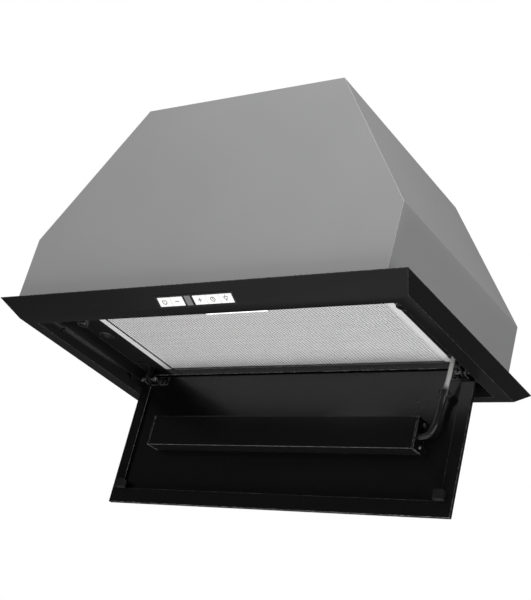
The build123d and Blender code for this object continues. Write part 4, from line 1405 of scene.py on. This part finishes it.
# ============================================================================= controls
@dataclass
class ControlPanel:
    """The strip of keys on the rim's sloping front."""

    slope_high: float = 0.013
    slope_deep: float = 0.027
    key_tall: float = 0.0114
    line: float = 0.00042
    reach: float = 0.0026
    lift: float = 0.00004
    flatten: float = 0.35

    def build(self) -> None:
        """Rounds the bezel, the display and the keys, and prints the keys' symbols."""
        rounded("control_bezel", SATIN_BEZEL, 0.0002)
        rounded("control_display", DISPLAY_GLASS, 0.0003)
        coat_node("control_board", BOARD_GREEN)
        symbols = {
            "button_power": self._power(),
            "button_minus": [[(-1, 0), (1, 0)]],
            "button_plus": [[(-1, 0), (1, 0)], [(0, -1), (0, 1)]],
            "button_timer": [self._arc(0, 360), [(0, 0.6), (0, 0), (0.45, -0.25)]],
            "button_lamp": self._bulb(),
        }
        for node, strokes in symbols.items():
            rounded(node, KEY_PLASTIC, 0.0005, 3)
            self._print(node, strokes)

    def _arc(self, start: float, end: float, radius: float = 1.0, rise: float = 0.0) -> Stroke:
        """Points along an arc.

        Args:
            start: The first angle, in degrees from the right.
            end: The last angle.
            radius: The arc's radius.
            rise: How far up its middle lies.

        Returns:
            The arc's points, right and up.
        """
        steps = max(6, round(abs(end - start) / 15))
        turns = (math.radians(start + (end - start) * i / steps) for i in range(steps + 1))
        return [(radius * math.cos(t), rise + radius * math.sin(t)) for t in turns]

    def _power(self) -> list[Stroke]:
        """An open ring with a bar."""
        return [self._arc(125, 415), [(0, 0.25), (0, 1.1)]]

    def _bulb(self) -> list[Stroke]:
        """A bulb on its cap, with short rays.

        Returns:
            The symbol's strokes.
        """
        rise, inner, outer = 0.3, 1.0, 1.3
        rays = []
        for turn in map(math.radians, (20, 90, 160)):
            c, s = math.cos(turn), math.sin(turn)
            rays.append([(inner * c, rise + inner * s), (outer * c, rise + outer * s)])
        cap = [[(-0.32, -0.55), (0.32, -0.55)], [(-0.25, -0.9), (0.25, -0.9)]]
        return [self._arc(-60, 240, 0.68, rise), *cap, *rays]

    def _print(self, node: str, strokes: list[Stroke]) -> None:
        """Lays a symbol's strokes on a key's face.

        Args:
            node: The key.
            strokes: Lines of points, right and up, where 1 is the symbol's reach.
        """
        low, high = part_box(node)
        slope = math.atan2(self.slope_high, self.slope_deep)
        out = Vector((0, -math.sin(slope), -math.cos(slope)))
        up = Vector((0, -math.cos(slope), math.sin(slope)))
        right = Vector((1, 0, 0))
        middle = (low + high) / 2
        key_half = (high.z - low.z - math.sin(slope) * self.key_tall) / math.cos(slope) / 2
        curve = bpy.data.curves.new(f"{node}_symbol", "CURVE")
        curve.dimensions = "3D"
        curve.bevel_depth = self.line
        curve.bevel_resolution = 1
        curve.use_fill_caps = True
        for stroke in strokes:
            spline = curve.splines.new("POLY")
            spline.points.add(len(stroke) - 1)
            for point, (u, v) in zip(spline.points, stroke):
                point.co = (u * self.reach, v * self.reach, 0.0, 1.0)
        drawn = bpy.data.objects.new(f"{node}_drawn", curve)
        bpy.context.scene.collection.objects.link(drawn)
        piece = plain_mesh(drawn, f"{node}_symbol")
        axes = Matrix((right, up, out)).transposed().to_4x4()
        flat = Matrix.Diagonal((1, 1, self.flatten, 1))
        place = Matrix.Translation(middle + out * (key_half + self.lift))
        piece.data.transform(place @ axes @ flat)
        recalculate(piece)
        adopt(piece, node, slot_of_node(node), SYMBOL_PRINT)


# ============================================================================= flap and lamp
@dataclass
class Flap:
    """The suction flap with its brackets, rivets and strikes."""

    tilt: float = FLAP_TILT

    def build(self, fasteners: Fasteners) -> None:
        """Rounds the pan's hems and fits its rivets, pins and nuts.

        Args:
            fasteners: What fits the screws and rivets.
        """
        rounded("flap_panel", FLAP_PAINT, 0.0005, 3)
        rounded("flap_brackets", FLAP_PAINT, 0.0003)
        rounded("flap_strikes", BLACK_PLASTIC, 0.0004, 3)
        rounded("hinge_brackets", CHAMBER_PAINT, 0.0003)
        rounded("hinge_pins", BRIGHT_STEEL, 0.0003)
        rounded("hinge_nuts", BRIGHT_STEEL, 0.0003)
        forward = Vector((0, -math.cos(self.tilt), -math.sin(self.tilt)))
        ways = [forward] * len(solids_of("flap_rivets"))
        fasteners.fit("flap_rivets", HeadStyle.RIVET, ways, FLAP_PAINT, 3)


@dataclass
class Lamp:
    """The lamp bar on the flap: a folded channel, two caps, a frosted window and its LEDs."""

    rib_pitch: float = 0.0022
    rib_high: float = 0.00035
    rib_margin: float = 0.004
    rib_sunk: float = 0.0002
    tilt: float = FLAP_TILT
    ribs: GeometryRig = field(default_factory=rib_row_rig)

    def build(self, fasteners: Fasteners) -> None:
        """Rounds the housing, and adds the window's prisms and the caps' screws.

        Args:
            fasteners: What fits the screws and rivets.
        """
        rounded("lamp_housing", FLAP_PAINT, 0.0007, 3)
        rounded("lamp_caps", FLAP_PAINT, 0.0005, 3)
        rounded("lamp_diffuser", LAMP_PANE, 0.0003)
        coat_node("led_board", BOARD_GREEN)
        coat_node("led_chips", LED_PHOSPHOR)
        outward = [
            Vector((math.copysign(1, low.x), 0, 0)) for low, _ in solids_of("lamp_cap_screws")
        ]
        fasteners.fit("lamp_cap_screws", HeadStyle.CROSS_PAN, outward, BRIGHT_STEEL, 21)
        self._prisms()

    def _prisms(self) -> None:
        """Fine upright prisms inside the window, which spread the light."""
        low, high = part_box("lamp_diffuser")
        half, tall = self.rib_pitch / 2, (high.z - low.z) / 2 - self.rib_margin / 2
        bm = bmesh.new()
        outline = [(-half, 0.0), (0.0, -self.rib_high), (half, 0.0), (0.0, self.rib_high / 3)]
        for z in (-tall, tall):
            for x, y in outline:
                bm.verts.new((x, y, z))
        bm.verts.ensure_lookup_table()
        for i in range(4):
            j = (i + 1) % 4
            bm.faces.new([bm.verts[k] for k in (i, j, j + 4, i + 4)])
        bm.faces.new([bm.verts[k] for k in (3, 2, 1, 0)])
        bm.faces.new([bm.verts[k] for k in (4, 5, 6, 7)])
        bmesh.ops.recalc_face_normals(bm, faces=bm.faces)
        rib = mesh_object("window_prism", bm)
        carrier = mesh_object("window_prisms_carrier", bmesh.new())
        count = int((high.x - low.x - self.rib_margin) / self.rib_pitch)
        piece = self.ribs.run(
            carrier, "lamp_window_prisms", Count=count, Pitch=self.rib_pitch, Rib=rib,
            Finish=LAMP_PANE.material(),
        )
        bpy.data.objects.remove(rib)
        piece.data.transform(Matrix.Rotation(self.tilt, 4, "X"))
        piece.data.transform(Matrix.Translation((0, low.y + self.rib_sunk, (low.z + high.z) / 2)))
        adopt(piece, "flap", "diffuser", None)


# ============================================================================= lamp cable
@dataclass
class LampCable:
    """The lamp's flexible hose, from the chamber's ceiling to the clip, and its sleeve beyond."""

    hose_route: tuple[Point, ...] = (
        (0.2140, 0.0400, 0.0400),
        (0.2140, 0.0520, 0.0400),
        (0.2075, 0.0635, 0.0345),
        (0.2004, 0.0688, 0.0220),
        (0.2000, 0.0692, 0.0060),
        (0.1976, 0.0726, -0.0090),
        (0.1946, 0.0756, -0.0230),
    )
    sleeve_route: tuple[Point, ...] = (
        (0.19460, 0.0756, -0.0230),
        (0.19217, 0.07803, -0.03434),
        (0.19160, 0.0783, -0.0480),
        (0.18980, 0.0776, -0.0605),
        (0.18480, 0.0771, -0.0705),
        (0.17550, 0.0771, -0.0705),
    )
    hose_radius: float = 0.00275
    sleeve_radius: float = 0.0034
    rib_depth: float = 0.0003
    rib_pitch: float = 0.0018
    hose_taper: float = 0.28
    hose_flare: float = 0.35
    hose_length: float = 0.0866
    sleeve_length: float = 0.0576
    rig: GeometryRig = field(default_factory=hose_rig)

    def build(self) -> None:
        """Builds the hose, the sleeve and the clip between them."""
        rounded("cable_clip", BLACK_PLASTIC, 0.0005, 3)
        hose, hose_line = self._tube(
            "lamp_hose", self.hose_route, HOSE_GREY, Radius=self.hose_radius,
            Rib_depth=self.rib_depth, Rib_pitch=self.rib_pitch, Step=self.rib_pitch / 8,
            Taper=self.hose_taper, Flare=self.hose_flare,
        )
        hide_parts("lamp_cable")
        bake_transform(hose)
        LOG.info("%s: %d faces from canopy to flap", hose.name, len(hose.data.polygons))
        sleeve, sleeve_line = self._tube(
            "lamp_sleeve", self.sleeve_route, SLEEVE_RUBBER, Radius=self.sleeve_radius,
            Rib_depth=0.0, Rib_pitch=self.rib_pitch, Step=0.0008,
        )
        adopt(sleeve, "flap", "sleeve_black", None, "lamp_cable_sleeve")

    def _tube(
        self, name: str, route: Sequence[Point], finish: Finish, **sizes: float
    ) -> tuple[bpy.types.Object, list[Point]]:
        """A tube along a route.

        Args:
            name: The piece's name.
            route: The control points of its smooth line.
            finish: Its finish.
            sizes: The hose tree's sizes.

        Returns:
            The tube, and the points of the line that it follows.
        """
        curve = bpy.data.curves.new(f"{name}_line", "CURVE")
        curve.dimensions = "3D"
        curve.resolution_u = 24
        spline = curve.splines.new("NURBS")
        spline.points.add(len(route) - 1)
        for point, place in zip(spline.points, route):
            point.co = (*place, 1.0)
        spline.order_u = 3
        spline.use_endpoint_u = True
        line = bpy.data.objects.new(f"{name}_line", curve)
        bpy.context.scene.collection.objects.link(line)
        sampled = plain_mesh(line, f"{name}_samples", keep=True)
        points = [tuple(vert.co) for vert in sampled.data.vertices]
        bpy.data.objects.remove(sampled)
        tube = self.rig.run(line, name, Finish=finish.material(), **sizes)
        recalculate(tube)
        smooth_by_angle(tube, 60.0)
        return tube, points


# ============================================================================= what is hidden
@dataclass
class Outlet:
    """The duct collar with its two damper flaps, and the mains lead's gland."""

    edge: float = 0.0005

    def build(self, fasteners: Fasteners) -> None:
        """Rounds the collar and its fittings.

        Args:
            fasteners: What fits the screws and rivets.
        """
        rounded("outlet_collar", BLACK_PLASTIC, self.edge)
        rounded("damper_front", BLACK_PLASTIC, 0.0002)
        rounded("damper_rear", BLACK_PLASTIC, 0.0002)
        rounded("mains_gland", BLACK_PLASTIC, self.edge)
        coat_node("damper_pin", BRIGHT_STEEL)
        upward = [Vector((0, 0, 1))] * len(solids_of("outlet_screws"))
        fasteners.fit("outlet_screws", HeadStyle.CROSS_PAN, upward, BRIGHT_STEEL, 9)


@dataclass
class Blower:
    """The double-inlet fan behind the filter."""

    finishes: dict[str, Finish] = field(
        default_factory=lambda: {
            "blower_scroll_left": BLOWER_PLASTIC,
            "blower_scroll_right": BLOWER_PLASTIC,
            "impeller": BLOWER_PLASTIC,
            "motor": MOTOR_ENAMEL,
            "motor_bracket": MOTOR_ENAMEL,
            "motor_shaft": BRIGHT_STEEL,
        }
    )

    def build(self, fasteners: Fasteners) -> None:
        """Finishes the fan's pieces and fits its screws.

        Args:
            fasteners: What fits the screws and rivets.
        """
        for node, finish in self.finishes.items():
            coat_node(node, finish)
        right = [Vector((1, 0, 0))] * len(solids_of("motor_screws"))
        fasteners.fit("motor_screws", HeadStyle.CROSS_PAN, right, BRIGHT_STEEL, 13)


@dataclass
class Electrics:
    """The control box, its board, the capacitor and the terminals."""

    finishes: dict[str, Finish] = field(
        default_factory=lambda: {
            "control_box": BLOWER_PLASTIC,
            "control_box_lid": BLOWER_PLASTIC,
            "power_board": BOARD_GREEN,
            "capacitor": MOTOR_ENAMEL,
            "terminal_block": BLACK_PLASTIC,
        }
    )

    def build(self) -> None:
        """Finishes the electrical pieces."""
        for node, finish in self.finishes.items():
            coat_node(node, finish)


# ============================================================================= studio
@dataclass(frozen=True)
class SoftLight:
    """A square studio light that looks at a point."""

    name: str
    place: Point
    aim: Point
    size: float
    power: float
    mirrored: bool = True

    def hang(self) -> None:
        """Adds the light, which glossy pieces mirror or don't."""
        data = bpy.data.lights.new(self.name, "AREA")
        data.shape = "SQUARE"
        data.size = self.size
        data.energy = self.power
        lamp = bpy.data.objects.new(self.name, data)
        lamp.location = self.place
        lamp.rotation_mode = "QUATERNION"
        way = Vector(self.aim) - Vector(self.place)
        lamp.rotation_quaternion = way.to_track_quat("-Z", "Y")
        lamp.visible_glossy = self.mirrored
        bpy.context.scene.collection.objects.link(lamp)


@dataclass
class Studio:
    """The camera, the floor, the backdrop and the lights."""

    camera_place: Point = (0.8689, -1.0251, -0.5471)
    camera_right: Point = (0.80490, 0.54069, 0.24451)
    camera_down: Point = (-0.05041, 0.47286, -0.87970)
    lens: float = 82.05
    floor_z: float = -1.6
    floor_half: float = 1.5
    backdrop: float = 1.0
    ambient: float = 0.26
    mirrored: float = 0.05
    floor_dark: Colour = (0.50, 0.50, 0.495)
    floor_pale: Colour = (0.54, 0.54, 0.535)
    lights: tuple[SoftLight, ...] = (
        SoftLight("key_light", (0.5, -0.95, 1.2), (0, 0, 0.1), 0.8, 24.0),
        SoftLight("right_light", (1.8, 0.1, -0.5), (0.1, 0, 0.1), 1.2, 8.0),
        SoftLight("low_light", (0.3, -0.12, -1.35), (0, 0, 0), 0.8, 50.0, mirrored=False),
    )

    def build(self) -> None:
        """Adds the camera, the floor, the backdrop and the lights."""
        self._camera()
        self._floor()
        self._world()
        for light in self.lights:
            light.hang()

    def _camera(self) -> None:
        """The camera, low on the right and looking up at the open flap."""
        data = bpy.data.cameras.new("camera")
        data.sensor_width = 36.0
        data.lens = self.lens
        data.clip_start, data.clip_end = 0.01, 50.0
        camera = bpy.data.objects.new("camera", data)
        right, down = Vector(self.camera_right), Vector(self.camera_down)
        back = right.cross(-down)
        turn = Matrix((right, -down, back)).transposed()
        camera.rotation_mode = "QUATERNION"
        camera.rotation_quaternion = turn.to_quaternion()
        camera.location = self.camera_place
        bpy.context.scene.collection.objects.link(camera)
        bpy.context.scene.camera = camera

    def _floor(self) -> None:
        """A plain pale floor, well below the hood, which hangs in a cupboard."""
        bm = bmesh.new()
        bmesh.ops.create_grid(bm, x_segments=1, y_segments=1, size=self.floor_half)
        bmesh.ops.translate(bm, vec=(0, 0, self.floor_z), verts=bm.verts)
        floor = mesh_object("floor", bm)
        surface = Surface("pale_floor")
        mottle = noise(surface, object_place(surface), 3.0, 4.0)
        colour = surface.blend(mottle, self.floor_dark, self.floor_pale)
        surface.dress(Base_Color=colour, Roughness=0.7)
        floor.data.materials.append(surface.material)

    def _world(self) -> None:
        """White behind the hood, and a softer grey light all round."""
        world = bpy.data.worlds.new("studio")
        world.use_nodes = True
        graph = Graph(world.node_tree)
        path = graph.add("ShaderNodeLightPath")
        glossy = graph.times(path.outputs["Is Glossy Ray"], self.mirrored - self.ambient)
        seen = graph.times(path.outputs["Is Camera Ray"], self.backdrop - self.ambient)
        strength = graph.plus(graph.plus(glossy, seen), self.ambient)
        white = graph.node("ShaderNodeBackground", Color=(1, 1, 1, 1), Strength=strength)
        output = graph.add("ShaderNodeOutputWorld")
        graph.feed(output.inputs[0], white.outputs[0])
        bpy.context.scene.world = world
        bpy.context.scene.view_settings.view_transform = "Standard"


def main() -> None:
    """Builds the hood's pieces in order, then the studio."""
    logging.basicConfig(level=logging.INFO, format="%(name)s %(message)s")
    fasteners = Fasteners()
    Studio().build()
    LampCable().build()
    Canopy().build(fasteners)
    Rim().build()
    SuctionChamber().build(fasteners)
    GreaseFilter().build()
    ControlPanel().build()
    Flap().build(fasteners)
    Lamp().build(fasteners)
    Outlet().build(fasteners)
    Blower().build(fasteners)
    Electrics().build()


if __name__ == "__main__":
    main()
